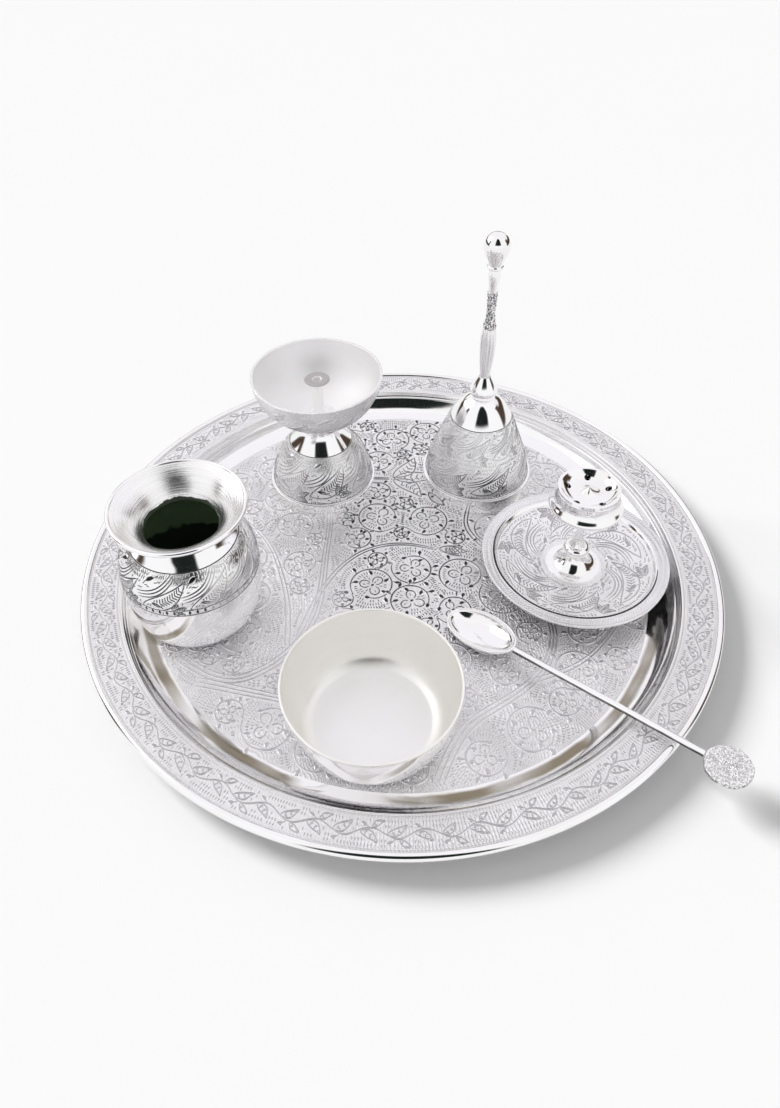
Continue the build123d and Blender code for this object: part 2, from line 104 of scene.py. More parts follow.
def joined(*items, ease=EASE):
    """Corners and runs of points in their order, as rows of (radius, height) with the number of each row's
    run. Straight runs link what doesn't meet. Each corner c between two runs is cut back to points a and
    b and rounded by the quadratic curve (1-t)^2 a + 2t(1-t) c + t^2 b."""
    items = [np.atleast_2d(np.asarray(item, float)) for item in items]
    runs = []
    for number, item in enumerate(items):
        if number and np.abs(items[number - 1][-1] - item[0]).max() > MEETING:
            runs.append(straight(items[number - 1][-1], item[0]))
        if len(item) > 1:
            runs.append(item)
    share = np.array([0.25, 0.5, 0.75])[:, None]
    rows, numbers = [], []
    for number, run in enumerate(runs):
        trim = min(ease, lengths_along(run)[-1] / 3)
        trimmed = cut_back(run, trim if number else 0, trim if number < len(runs) - 1 else 0)
        if number:
            corner, begin, end = run[0], rows[-1][-1], trimmed[0]
            rows.append((1 - share)**2 * begin + 2 * share * (1 - share) * corner + share**2 * end)
            numbers.append(np.full(len(share), number))
        rows.append(trimmed)
        numbers.append(np.full(len(trimmed), number))
    return np.concatenate(rows), np.concatenate(numbers)


def add_piece(name, points, faces, uv=None, finish=(), face_finish=None):
    """Smooth mesh object from points in millimetres and arrays of faces with the same number of corners."""
    mesh = bpy.data.meshes.new(name)
    corners = np.concatenate([block.ravel() for block in faces])
    sides = np.concatenate([np.full(len(block), block.shape[1]) for block in faces])
    mesh.vertices.add(len(points))
    mesh.vertices.foreach_set("co", (np.asarray(points, float) * MM).ravel())
    mesh.loops.add(len(corners))
    mesh.loops.foreach_set("vertex_index", corners.astype(np.int32))
    mesh.polygons.add(len(sides))
    mesh.polygons.foreach_set("loop_start", (np.cumsum(sides) - sides).astype(np.int32))
    mesh.update(calc_edges=True)
    if uv is not None:
        mesh.uv_layers.new(name="turned").data.foreach_set("uv", np.asarray(uv, float).ravel())
    for material in finish:
        mesh.materials.append(material)
    if face_finish is not None:
        mesh.polygons.foreach_set("material_index", face_finish.astype(np.int32))
    mesh.polygons.foreach_set("use_smooth", np.ones(len(sides), bool))
    piece = bpy.data.objects.new(name, mesh)
    bpy.context.scene.collection.objects.link(piece)
    return piece


def turned_faces(count, steps):
    """Quads of a grid of count rows and steps columns that closes round, in the order row, column."""
    row, column = np.meshgrid(np.arange(count - 1), np.arange(steps), indexing="ij")
    beside = (column + 1) % steps
    quad = np.stack([row * steps + column, row * steps + beside,
                     (row + 1) * steps + beside, (row + 1) * steps + column], -1)
    return quad.reshape(-1, 4)


def turned_piece(name, part, outline, finish, axis=(0, 0), base=0, run_finish=None, steps=192, shape=None):
    """Surface of revolution of an outline's rows (r, z) about an upright axis: (r cos a, r sin a, z) at
    equal angles a. A row on the axis is one point with triangles round it. The UV map holds the turns
    and the millimetres along the outline. A shape, if given, changes the points before they are placed.
    The piece takes the place of the part's node of the frame and goes with the part's body; the part's
    finish slot is not used."""
    rows, numbers = outline
    along = lengths_along(rows)
    tops = rows[:, 0] < 1e-6
    rings = np.flatnonzero(~tops)
    angle = np.arange(steps) * 2 * np.pi / steps
    radius = np.repeat(rows[rings, :1], steps, axis=1)
    height = np.repeat(rows[rings, 1:], steps, axis=1)
    ring = np.stack([radius * np.cos(angle), radius * np.sin(angle), height], -1).reshape(-1, 3)
    poles = np.stack([np.zeros(tops.sum()), np.zeros(tops.sum()), rows[tops, 1]], -1)
    quads = turned_faces(len(rings), steps)
    column = np.arange(steps)
    turn = (column[:, None] + [0, 1, 1, 0]) / steps
    up = along[np.stack([rings[:-1], rings[:-1], rings[1:], rings[1:]], -1)]
    faces, uvs = [quads], [np.stack(np.broadcast_arrays(turn, up[:, None]), -1).reshape(-1, 2)]
    face_runs = [np.repeat(numbers[rings[1:]], steps)]
    for number, pole in enumerate(np.flatnonzero(tops)):
        first, edge, sides = (0, 1, [1, 0]) if pole == 0 else ((len(rings) - 1) * steps, -2, [0, 1])
        rim = [first + (column + side) % steps for side in sides]
        faces.append(np.stack([np.full(steps, len(ring) + number), *rim], -1))
        turn = (column[:, None] + [0.5, *sides]) / steps
        uvs.append(np.stack(np.broadcast_arrays(turn, along[[pole, edge, edge]]), -1).reshape(-1, 2))
        face_runs.append(np.full(steps, numbers[pole]))
    points = np.concatenate([ring, poles])
    if shape is not None:
        points = shape(points)
    slots = None if run_finish is None else np.asarray(run_finish)[np.concatenate(face_runs)]
    piece = add_piece(name, points + [*axis, base], faces, np.concatenate(uvs), finish, slots)
    node, slot, body = part
    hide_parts(node)
    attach(piece, body)


class Wire:
    """An output of a finish's nodes. Sums, differences and products of wires and numbers add Math nodes."""

    def __init__(self, socket):
        self.socket = socket
        self.tree = socket.id_data

    def node(self, kind, settings, values, output=0):
        """A new node of this type: its settings, then the value or wire of each socket."""
        added = self.tree.nodes.new("ShaderNode" + kind)
        for name, value in settings.items():
            setattr(added, name, value)
        for name, value in values.items():
            if isinstance(value, Wire):
                self.tree.links.new(value.socket, added.inputs[name])
            else:
                added.inputs[name].default_value = value
        return Wire(added.outputs[output])

    def math(self, operation, first, second):
        """The two values put through one Math node."""
        return self.node("Math", {"operation": operation}, {0: first, 1: second})

    def through(self, operation):
        """This value put through a Math node that takes one value."""
        return self.math(operation, self, 0.0)

    def __add__(self, other):
        return self.math("ADD", self, other)

    def __radd__(self, other):
        return self.math("ADD", other, self)

    def __sub__(self, other):
        return self.math("SUBTRACT", self, other)

    def __rsub__(self, other):
        return self.math("SUBTRACT", other, self)

    def __mul__(self, other):
        return self.math("MULTIPLY", self, other)

    def __rmul__(self, other):
        return self.math("MULTIPLY", other, self)

    def clipped(self, low, high):
        """The value's stretch from low to high, spread over 0 to 1 and smoothed at both ends."""
        bounds = {"From Min": low, "From Max": high}
        return self.node("MapRange", {"interpolation_type": "SMOOTHSTEP"}, {"Value": self, **bounds})

    def blend(self, first, second):
        """Colour between two colours, by this value."""
        return self.node("Mix", {"data_type": "RGBA"}, {0: self, 6: first, 7: second}, 2)

    def part(self, name):
        """One of the three numbers of a vector."""
        return self.node("SeparateXYZ", {}, {"Vector": self}, name)

    def noise(self, size, detail=3.0, stretch=(1, 1, 1)):
        """Soft noise whose features are about this many millimetres, drawn out along the axes."""
        scaled = self.node("Mapping", {}, {"Vector": self, "Scale": stretch})
        return self.node("TexNoise", {}, {"Vector": scaled, "Scale": 1 / (size * MM), "Detail": detail})

    def bump(self, strength, depth):
        """A normal whose surface this value raises by up to a depth in millimetres."""
        return self.node("Bump", {}, {"Height": self, "Strength": strength, "Distance": depth * MM})


def new_finish(name):
    """A metal finish: its material, its shader and the wire of its object coordinates."""
    material = bpy.data.materials.new(name)
    material.use_nodes = True
    shader = material.node_tree.nodes["Principled BSDF"]
    shader.inputs["Metallic"].default_value = 1.0
    place = Wire(material.node_tree.nodes.new("ShaderNodeTexCoord").outputs["Object"])
    return material, shader, place


def feed(shader, **wires):
    """Link wires to the shader's sockets, with the socket's spaces written as underlines."""
    for name, wire in wires.items():
        wire.tree.links.new(wire.socket, shader.inputs[name.replace("_", " ")])


def polished_silver(name, roughness=0.05, wave=0.2):
    """Buffed silver plate: a faintly uneven tone, soft hand-buffed waves and fine hairlines."""
    material, shader, place = new_finish(name)
    cloud = place.noise(24)
    hair = place.noise(0.5, 2.0, (1, 1, 6))
    feed(shader, Base_Color=cloud.clipped(0.35, 0.75).blend(SILVER, WARM_SILVER),
         Roughness=roughness + 0.05 * cloud + 0.04 * hair, Normal=place.noise(9, 1.0).bump(wave, 0.12))
    return material


def struck_silver(name, roughness, ways=None, depth=0.2):
    """Plate that has been worked over with a graver: a fine matt grain under a soft shine. Ways, if given,
    turns the wire of the place into millimetres across and along the fine strokes of the ground: their
    height is sin(2 pi across / step), cut off between rows by |sin(pi along / length)|. The ground between
    the raised strokes is painted darker, as shade in its hollows."""
    material, shader, place = new_finish(name)
    cloud = place.noise(30)
    grain = place.noise(0.45, 4.0)
    tone, raised = cloud.clipped(0.3, 0.75), 0.4 * grain
    if ways is not None:
        across, along = ways(place)
        line = across * (2 * np.pi / STROKE_STEP)
        row = along * (np.pi / STROKE_LENGTH)
        row = row.through("SINE")
        row = row.through("ABSOLUTE").clipped(0.1, 0.5)
        burr = line.through("SINE").clipped(-0.4, 0.9) * row
        # Where no stroke is raised the tone goes darker: painted shade in the hollows between the strokes.
        tone, raised = 0.5 * tone + 2.5 * depth * (1 - burr), burr + raised
    feed(shader, Base_Color=tone.blend(SILVER, STROKE_TONE_AND_SHADE), Normal=raised.bump(0.7, depth),
         Roughness=roughness + 0.1 * grain + 0.05 * cloud)
    return material


def sweeping(place):
    """Millimetres across and along the floor's strokes, bent by slow noise so that they sweep about."""
    return (place.part("X") * (1 / MM) + 26 * place.noise(24, 1.0),
            place.part("Y") * (1 / MM) + 26 * place.noise(31, 1.0))


def radial(place):
    """Millimetres across and along strokes that point to the tray's middle."""
    turn = place.math("ARCTAN2", place.part("Y"), place.part("X"))
    out = place.node("VectorMath", {"operation": "LENGTH"}, {0: place}, "Value")
    return turn * WALL_TOP_R, out * (1 / MM)


def cove_with_painted_reflection(name):
    """Buffed plate of the cove, with a painted brown reflection in the corner by the floor: it lies between
    two radii, wanders and comes and goes with noise, and keeps to the tray's near half."""
    material, shader, place = new_finish(name)
    cloud = place.noise(24)
    out = radial(place)[1] + 2 * (place.noise(16) - 0.5)
    inner, outer = (out.clipped(radius - REFLECTION_BAND_EDGE, radius + REFLECTION_BAND_EDGE) for radius in REFLECTION_BAND_R)
    brown_reflection = inner * (1 - outer) * place.noise(45, 2.0).clipped(0.36, 0.56)
    brown_reflection = brown_reflection * (0 - place.part("Y")).clipped(0, REFLECTION_BAND_FADE * MM)
    feed(shader, Base_Color=brown_reflection.blend(cloud.clipped(0.35, 0.75).blend(SILVER, WARM_SILVER), COVE_REFLECTION_BROWN),
         Roughness=0.05 + 0.06 * cloud + 0.1 * brown_reflection, Normal=place.noise(9, 1.0).bump(0.2, 0.12))
    return material


tray_centre, tray_base, PLATE_R = turned_box("thali_plate")[:3]
bead_ring_r = PLATE_R - BEAD_R
bead_z = RIM_EDGE_Z - SHEET / 2
cove_angle = 2 * np.degrees(np.arctan2(WALL_TOP_Z - SHEET, WALL_TOP_R - FLOOR_R))
cove_r = (WALL_TOP_R - FLOOR_R) / np.sin(np.radians(cove_angle))
cove_share = np.linspace(0, 1, 60)
cove_marks = sum(np.exp(-((cove_share - mark) / WALL_GROOVE_WIDTH)**2) for mark in WALL_GROOVE_SHARES)
cove_run = arc((FLOOR_R, SHEET + cove_r), cove_r + GROOVE_DEPTH * cove_marks, -90, -90 + cove_angle, 60)
rim_r = np.linspace(bead_ring_r - BEAD_R * 0.9, WALL_TOP_R, 110)
rim_z = np.interp(rim_r, (WALL_TOP_R, bead_ring_r), (WALL_TOP_Z, RIM_EDGE_Z))
rim_z = rim_z - GROOVE_DEPTH * sum(np.exp(-((rim_r - mark) / GROOVE_WIDTH)**2) for mark in RIM_GROOVES)
rim_run = np.stack([rim_r, rim_z], -1)
bead_run = arc((bead_ring_r, bead_z), BEAD_R, -160, 165, 32)
bead_run[-1] = rim_run[0]
under_cove = arc((FLOOR_R, SHEET + cove_r), cove_r + SHEET, -90, -90 + cove_angle, 24)
tray_outline = joined(
    straight((0, 0), (FLOOR_R, 0), 4), under_cove, straight(under_cove[-1], bead_run[0], 4), bead_run,
    rim_run, cove_run[::-1], straight((FLOOR_R, SHEET), (0, SHEET), 12))
wall_silver = polished_silver("polished silver of the tray")
floor_silver = struck_silver("struck silver of the floor", 0.34, sweeping)
rim_silver = struck_silver("struck silver of the rim", 0.34, radial)
# The cove's near half carries a painted brown reflection by the floor.
reflecting_cove_silver = cove_with_painted_reflection("silver of the cove with a painted reflection")
turned_piece("thali_tray", ("thali_plate", "engraved_silver", "tray"), tray_outline,
             (floor_silver, wall_silver, rim_silver, reflecting_cove_silver), tray_centre, tray_base,
             (1, 1, 1, 1, 2, 3, 0), TRAY_STEPS)

# Engraving of the tray's floor. Scrolling stems are cut by hand with a graver: each scroll closes round
# a flower of open petals, leaf dots hang from it, and short strokes fill the ground between.
# A cut is a narrow gutter with a raised burr along both sides, laid on the sheet.
ACROSS = np.array([-1, -0.7, 0, 0.7, 1])
BURR = np.array([-0.03, 0.2, 0.012, 0.2, -0.03])
CUT = np.array([0, 0.35, 1, 0.35, 0])
FULL_WIDTH = 0.7
MARK_CELL = 0.3
SCROLL_SIZES = (9.4, 8.4, 7.4, 6.4, 5.4, 4.5, 3.7)
SCROLL_GAP = 0.4
STEM_GAP = 1.0
SCROLL_WIDTH = 0.85
PETAL_WIDTH = 0.75
DOT_WIDTH = 2.4
TICK_LENGTH = 1.3
TICK_STEP = 1.0
TICK_ROW = 1.65
TICK_WIDTH = 0.62
FLOOR_FIELD_R = FLOOR_R - 0.8
FLOOR_SPOTS = 12000
DARK_REFLECTION_STRIP = (6.0, 24.0)
DARK_REFLECTION_NEAR = -38.0
DARK_CUT = (0.04, 0.04, 0.045, 1.0)
PALE_CUT = (0.56, 0.545, 0.565, 1.0)


def unit(vectors):
    """Vectors brought to length one."""
    return vectors / np.maximum(np.linalg.norm(vectors, axis=-1, keepdims=True), 1e-9)


def left_of(vectors):
    """Flat vectors turned a quarter to the left: (-y, x)."""
    return np.stack([-vectors[..., 1], vectors[..., 0]], -1)


def lines_across(lines, widths):
    """The five lengthwise lines of each cut: its middle line moved sideways by shares of its half width."""
    side = left_of(unit(np.gradient(lines, axis=1)))
    return lines[:, :, None] + side[:, :, None] * (ACROSS * widths[..., None] / 2)[..., None]


def cut_piece(name, cuts, lay, finish, body):
    """One mesh of cuts. A cut's point is laid on the sheet by lay, which gives a place and the way out
    of the sheet, and is lifted that way by the burr's height, less where the cut is narrow."""
    points, depths, faces, count = [], [], [], 0
    for lines, widths in cuts:
        flat = lines_across(lines, widths)
        place, out = lay(flat)
        lift = BURR * np.minimum(widths / FULL_WIDTH, 1)[..., None]
        points.append((place + out * lift[..., None]).reshape(-1, 3))
        depths.append(np.broadcast_to(CUT, lift.shape).ravel())
        strokes, steps = lines.shape[:2]
        number = count + np.arange(strokes * steps * len(ACROSS)).reshape(strokes, steps, len(ACROSS))
        quad = np.stack([number[:, :-1, :-1], number[:, 1:, :-1], number[:, 1:, 1:], number[:, :-1, 1:]], -1)
        faces.append(quad.reshape(-1, 4))
        count += number.size
    piece = add_piece(name, np.concatenate(points), faces, None, (finish,))
    depth = piece.data.attributes.new("cut", "FLOAT", "POINT")
    depth.data.foreach_set("value", np.concatenate(depths))
    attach(piece, body)


def cut_silver(name, dark, pale_share=None, pale_tone=PALE_CUT):
    """The graver's cut: bright along the burr and dark at the bottom, where polish doesn't reach. Pale
    share, if given, turns the wire of the place into the share by which a cut there takes the pale tone; the
    cuts it leaves dark carry a painted dark reflection as well as tarnish."""
    material, shader, place = new_finish(name)
    depth = place.node("Attribute", {"attribute_name": "cut"}, {}, "Fac")
    grain = place.noise(0.8)
    bottom = dark if pale_share is None else pale_share(place).blend(dark, pale_tone)
    feed(shader, Base_Color=(depth * (0.7 + 0.6 * grain)).clipped(0.2, 0.6).blend(SILVER, bottom),
         Roughness=0.12 + 0.2 * depth + 0.06 * grain)
    return material


def pale_beside_reflection_strip(place):
    """Share by which the floor's cuts take the pale tone: none in a strip from the middle to the far edge,
    where their dark is a painted reflection of dark surroundings, and all elsewhere."""
    ragged = 14 * MM * (place.noise(20) - 0.5)
    aside = place.part("X") - DARK_REFLECTION_STRIP[0] * MM
    aside = aside.through("ABSOLUTE") + ragged
    near = DARK_REFLECTION_NEAR * MM - place.part("Y") + ragged
    return aside.math("MAXIMUM", aside.clipped(DARK_REFLECTION_STRIP[1] * MM, (DARK_REFLECTION_STRIP[1] + 9) * MM),
                      near.clipped(-4 * MM, 4 * MM))


def stroke(lines, width, thin=0.25):
    """Lines with widths that thin out to both ends: w (thin + (1 - thin) sqrt(sin pi t))."""
    share = np.linspace(0, 1, lines.shape[1])
    widths = width * (thin + (1 - thin) * np.sqrt(np.sin(np.pi * share).clip(0)))
    return lines, np.broadcast_to(widths, lines.shape[:2])


def turn_vectors(angles):
    """Unit vectors at angles in radians."""
    return np.stack([np.cos(angles), np.sin(angles)], -1)


def scroll_cuts(centres, radii, starts, hands):
    """Scroll stems: from the start angle each runs 310 degrees round its circle, and its radius falls by
    a quarter of the square of the share that it has run."""
    share = np.linspace(0, 1, 36)
    angle = starts[:, None] + hands[:, None] * np.radians(310) * share
    radius = radii[:, None] * (1 - 0.25 * share**2)
    lines = centres[:, None] + radius[..., None] * turn_vectors(angle)
    return stroke(lines, SCROLL_WIDTH, 0.5)


def petal_cuts(centres, sizes, turns, petals=3):
    """Open petals: loops of an ellipse whose gap faces the flower's middle. Its centre lies 0.58 of the
    size out, and its half axes are 0.40 and 0.36 of the size."""
    out = turn_vectors(turns[:, None] + np.arange(petals) * 2 * np.pi / petals)
    side = left_of(out)
    loop = np.radians(np.linspace(-150, 150, 12))
    size = sizes[:, None, None, None]
    reach = size * (0.58 + 0.40 * np.cos(loop))[:, None]
    breadth = size * 0.36 * np.sin(loop)[:, None]
    lines = centres[:, None, None] + out[:, :, None] * reach + side[:, :, None] * breadth
    return stroke(lines.reshape(-1, len(loop), 2), PETAL_WIDTH, 0.6)


def dot_cuts(starts, ways, length, width):
    """Solid leaf dots: short strokes whose width is w (sin pi t^1.35)^0.6, widest past the middle."""
    share = np.linspace(0, 1, 7)
    lines = starts[:, None] + ways[:, None] * length * share[:, None]
    swell = width * np.sin(np.pi * share**1.35).clip(0)**0.6
    return lines, np.broadcast_to(np.maximum(swell, 0.12), lines.shape[:2])


def hook_cuts(starts, ways, hands, lengths, width):
    """Leaf dots on a curled stalk: the stalk bends aside by the square of its length, and its last part
    swells to the dot."""
    share = np.linspace(0, 1, 9)
    side = left_of(ways) * hands[:, None]
    run = (lengths[:, None] * share)[..., None]
    lines = starts[:, None] + ways[:, None] * run + side[:, None] * 0.5 * run * share[:, None]
    bulb = np.sqrt(np.maximum(1 - ((share - 0.72) / 0.29)**2, 0))
    return lines, np.broadcast_to(np.maximum(width * bulb, 0.4 * (share < 0.9) + 0.1), lines.shape[:2])


def marked_cells(cuts, low, shape):
    """Grid of cells that the cuts cover, each widened by one cell all round."""
    grid = np.zeros(shape, bool)
    for lines, widths in cuts:
        flat = lines_across(lines, widths)
        for share in (0, 0.25, 0.5, 0.75):
            between_rows = flat[:, :-1] * (1 - share) + flat[:, 1:] * share
            cell = ((between_rows - low) / MARK_CELL).astype(int).reshape(-1, 2)
            cell = np.clip(cell, 1, np.array(shape) - 2)
            grid[cell[:, 0], cell[:, 1]] = True
    return grid | np.roll(grid, 1, 0) | np.roll(grid, -1, 0) | np.roll(grid, 1, 1) | np.roll(grid, -1, 1)


def free_ticks(starts, ways, cuts, inside, low, high, length=TICK_LENGTH):
    """Short strokes from the starts along the ways, kept where they lie inside and meet no other cut."""
    shape = tuple(((np.asarray(high) - low) / MARK_CELL).astype(int) + 4)
    taken = marked_cells(cuts, low, shape)
    free = inside(starts) & inside(starts + ways * length)
    for share in (0, 0.35, 0.7, 1):
        cell = ((starts + ways * length * share - low) / MARK_CELL).astype(int)
        cell = np.clip(cell, 0, np.array(shape) - 1)
        free &= ~taken[cell[:, 0], cell[:, 1]]
    share = np.linspace(0, 1, 3)
    lines = starts[free][:, None] + ways[free][:, None] * (length * share)[:, None]
    return stroke(lines, TICK_WIDTH, 0.4)


def ground_ticks(centres, radii, rivals, rival_radii):
    """Starts and ways of rows of radial ticks round every scroll, inside and out, up to where a rival
    scroll is nearer."""
    starts, ways = [], []
    for centre, radius in zip(centres, radii):
        for number, row in enumerate(np.arange(radius % TICK_ROW + 0.5, radius + 9, TICK_ROW)):
            count = max(int(2 * np.pi * row / TICK_STEP), 3)
            way = turn_vectors(2 * np.pi * (np.arange(count) + 0.5 * (number % 2)) / count)
            spot = centre + row * way
            nearest = (np.linalg.norm(spot[:, None] - rivals, axis=2) - rival_radii).min(1)
            own = row - radius <= nearest + 1e-6
            starts.append(spot[own])
            ways.append(way[own])
    return np.concatenate(starts), np.concatenate(ways)


def bloom_cuts(stems, centres, radii, hands, turns):
    """What grows on a field of scrolls: flowers, their middles, end dots, and leaf dots on both sides."""
    heading = unit(stems[:, -1] - stems[:, -2])
    middle = turn_vectors(turns)
    cuts = [petal_cuts(centres, radii * 0.6, turns), dot_cuts(centres - 0.8 * middle, middle, 1.6, 1.6),
            dot_cuts(stems[:, -1] - 0.4 * heading, heading, 2.4, DOT_WIDTH)]
    reach = np.clip(radii / 8, 0.6, 1.0)
    for place, inward, length in ((4, 1, 2.9), (8, -1, 3.5), (12, 1, 2.9), (15, -1, 3.4), (20, 1, 2.8),
                                  (22, -1, 3.5), (27, 1, 2.6), (29, -1, 3.6)):
        spot = stems[:, place]
        out = unit(spot - centres)
        ahead = unit(stems[:, place + 1] - spot)
        way = ahead * 0.75 - out * inward * 0.66
        cuts.append(hook_cuts(spot, way, hands * inward, length * reach, DOT_WIDTH * 0.9))
    return cuts


def link_cuts(begins, ends):
    """Stalks from scroll to scroll: quadratic curves whose bend lies three tenths of the run aside."""
    share = np.linspace(0, 1, 12)[:, None]
    bends = ((begins + ends) / 2 + 0.3 * left_of(ends - begins))[:, None]
    lines = (1 - share)**2 * begins[:, None] + 2 * share * (1 - share) * bends + share**2 * ends[:, None]
    return stroke(lines, SCROLL_WIDTH, 0.5)


def leaf_cuts(base, tip, breadth, curl, veins=5):
    """One outlined leaf: its middle line bends aside by curl sin pi t, its edge stands off that line by
    half the breadth times sin pi t^0.8, and short veins slant across it."""
    base, tip = np.asarray(base, float), np.asarray(tip, float)
    along = tip - base
    side = left_of(unit(along))
    there = np.linspace(0, 1, 11)
    share = np.concatenate([there, there[-2::-1]])
    edge = np.where(np.arange(len(share)) < len(there), 1, -1)
    middle = base + along * share[:, None] + side * (curl * np.sin(np.pi * share))[:, None]
    outline = middle + side * (edge * breadth / 2 * np.sin(np.pi * share**0.8))[:, None]
    vein = np.linspace(0.25, 0.8, veins)
    spine = base + along * vein[:, None] + side * (curl * np.sin(np.pi * vein))[:, None]
    ticks = []
    for hand in (-1, 1):
        reach = side * hand * breadth * 0.26 + unit(along) * breadth * 0.16
        ticks.append(np.stack([spine, spine + reach / 2, spine + reach], 1))
    ticks = np.concatenate(ticks)
    return [stroke(outline[None], PETAL_WIDTH, 0.7), (ticks, np.full(ticks.shape[:2], TICK_WIDTH))]


def fan_cuts(base, heading, length, spread, leaves=3):
    """A fan of pointed leaves from one point, up to the spread in degrees on both sides of its heading; the
    outer ones are shorter and curl outwards."""
    cuts = []
    for aside in np.linspace(-1, 1, leaves):
        way = turn_vectors(np.radians(heading + spread * aside))
        tip = base + length * (1 - 0.12 * abs(aside)) * way
        cuts += leaf_cuts(base + 1.2 * way, tip, length * 0.34, -0.1 * length * aside, 5)
    return cuts


def smooth_line(points, steps=60):
    """Natural cubic spline through points, by chord length: the bends (second derivatives) solve the
    three-term equations of equal slopes, and each span is the cubic of its two ends and two bends."""
    points = np.asarray(points, float)
    knots = lengths_along(points)
    chord = np.diff(knots)
    inner = np.arange(1, len(points) - 1)
    terms = np.eye(len(points))
    terms[inner, inner - 1] = chord[:-1]
    terms[inner, inner] = 2 * (chord[:-1] + chord[1:])
    terms[inner, inner + 1] = chord[1:]
    turns = np.zeros_like(points)
    turns[1:-1] = 6 * np.diff(np.diff(points, axis=0) / chord[:, None], axis=0)
    bends = np.linalg.solve(terms, turns)
    places = np.linspace(0, knots[-1], steps)
    span = np.clip(np.searchsorted(knots, places, "right") - 1, 0, len(chord) - 1)
    wide = chord[span][:, None]
    after = (places - knots[span])[:, None]
    before = wide - after
    curve = (bends[span] * before**3 + bends[span + 1] * after**3) / (6 * wide)
    curve += (points[span] / wide - bends[span] * wide / 6) * before
    return curve + (points[span + 1] / wide - bends[span + 1] * wide / 6) * after


def stem_cuts(points, lines=3, apart=1.3):
    """A main stem: parallel lines along a smooth curve through the points, closing up towards its end."""
    middle = smooth_line(points, 60)
    side = left_of(unit(np.gradient(middle, axis=0)))
    offset = (np.arange(lines) - (lines - 1) / 2) * apart
    spread = np.linspace(1.4, 0.7, len(middle))[:, None]
    curves = np.stack([middle + side * step * spread for step in offset])
    return stroke(curves, SCROLL_WIDTH, 0.5)


def packed_scrolls(placed, spots, room):
    """Scroll circles of a field: the placed ones, then for each size from the largest the spot where it
    fits most tightly, until it fits nowhere. Room is how large a circle each empty spot takes at first."""
    circles = [np.array(circle, float) for circle in placed]
    for circle in circles:
        room = np.minimum(room, np.linalg.norm(spots - circle[:2], axis=1) - circle[2] - SCROLL_GAP)
    for size in SCROLL_SIZES:
        while (room >= size).any():
            best = np.where(room >= size, room, np.inf).argmin()
            circles.append(np.array([*spots[best], size]))
            room = np.minimum(room, np.linalg.norm(spots - spots[best], axis=1) - size - SCROLL_GAP)
    return np.array(circles)


def scroll_field(centres, radii, seed):
    """Stems and blooms of a field of scrolls. Each scroll starts at its nearest neighbour, and a stalk
    links it there."""
    draw = np.random.default_rng(seed)
    apart = np.linalg.norm(centres[:, None] - centres, axis=2) + np.eye(len(centres)) * 1000
    parent = apart.argmin(1)
    toward = unit(centres[parent] - centres)
    starts = np.arctan2(toward[:, 1], toward[:, 0])
    hands = np.where(np.arange(len(centres)) % 2, 1.0, -1.0)
    stems = scroll_cuts(centres, radii, starts, hands)
    grips = centres[parent] - toward * radii[parent][:, None]
    links = link_cuts(grips, centres + toward * radii[:, None])
    turns = draw.uniform(0, 2 * np.pi, len(centres))
    return [stems, links], bloom_cuts(stems[0], centres, radii, hands, turns)


floor_stems = [
    stem_cuts([(-84, -45), (-64, -55), (-43, -43), (-33, -20), (-31, 6), (-30, 34), (-38, 62)]),
    stem_cuts([(-40, -36), (-30, -9), (-14, 9), (4, 12.5), (15, 9.5)], 2),
    stem_cuts([(-44, -40), (-45, -22), (-49, -4), (-57, 16), (-74, 34)], 2),
    stem_cuts([(-76, -56), (-52, -62), (-30, -70), (-14, -88)]),
    stem_cuts([(-30, 30), (-24, 47), (-12, 55), (-3, 55)], 2),
    stem_cuts([(10, -97), (22, -76), (42, -62), (58, -38), (52, -12), (40, 6)]),
    stem_cuts([(46, -58), (66, -50), (84, -32)], 2),
    stem_cuts([(52, -10), (58, 18), (78, 34)], 2),
    stem_cuts([(40, 6), (30, 24), (34, 44), (28, 62)], 2)]
floor_leaves = []
for base, heading, length, spread in (
        ((-2, 55), 4, 21, 48), ((16, 9.5), -8, 13, 15), ((-57, 18), 118, 14, 50), ((29, 64), 100, 16, 46),
        ((-38, 64), 106, 16, 46), ((80, 35), 28, 14, 46), ((-14, -89), -60, 9, 46), ((85, -31), 20, 11, 46)):
    floor_leaves += fan_cuts(base, heading, length, spread)
stem_points = np.concatenate([lines.reshape(-1, 2) for lines, widths in floor_stems + floor_leaves])
scroll_places = [(-11.3, -10.3, 9), (5.3, -1.2, 8.6), (4.5, -18.7, 8.8), (12.8, 27.2, 9.4), (-8, 29.7, 9.4),
                 (-1.3, 83.8, 8.6), (16.2, 88.8, 8.2), (-45.5, 24.7, 8.4), (65, -53, 9)]
floor_spots = np.random.default_rng(5).uniform(-FLOOR_FIELD_R, FLOOR_FIELD_R, (FLOOR_SPOTS, 2))
floor_room = FLOOR_FIELD_R - np.linalg.norm(floor_spots, axis=1) - SCROLL_GAP
for part in np.array_split(stem_points, 16):
    apart = np.linalg.norm(floor_spots[:, None] - part, axis=2).min(1)
    floor_room = np.minimum(floor_room, apart - STEM_GAP)
scrolls = packed_scrolls(scroll_places, floor_spots, floor_room)
floor_vines, floor_blooms = scroll_field(scrolls[:, :2], scrolls[:, 2], 11)
floor_vines = floor_vines + floor_stems + floor_leaves
tick_starts, tick_ways = ground_ticks(scrolls[:, :2], scrolls[:, 2], scrolls[:, :2], scrolls[:, 2])


def on_open_floor(spots):
    """Whether places of the pattern lie inside the floor's field."""
    return np.linalg.norm(spots, axis=1) < FLOOR_FIELD_R


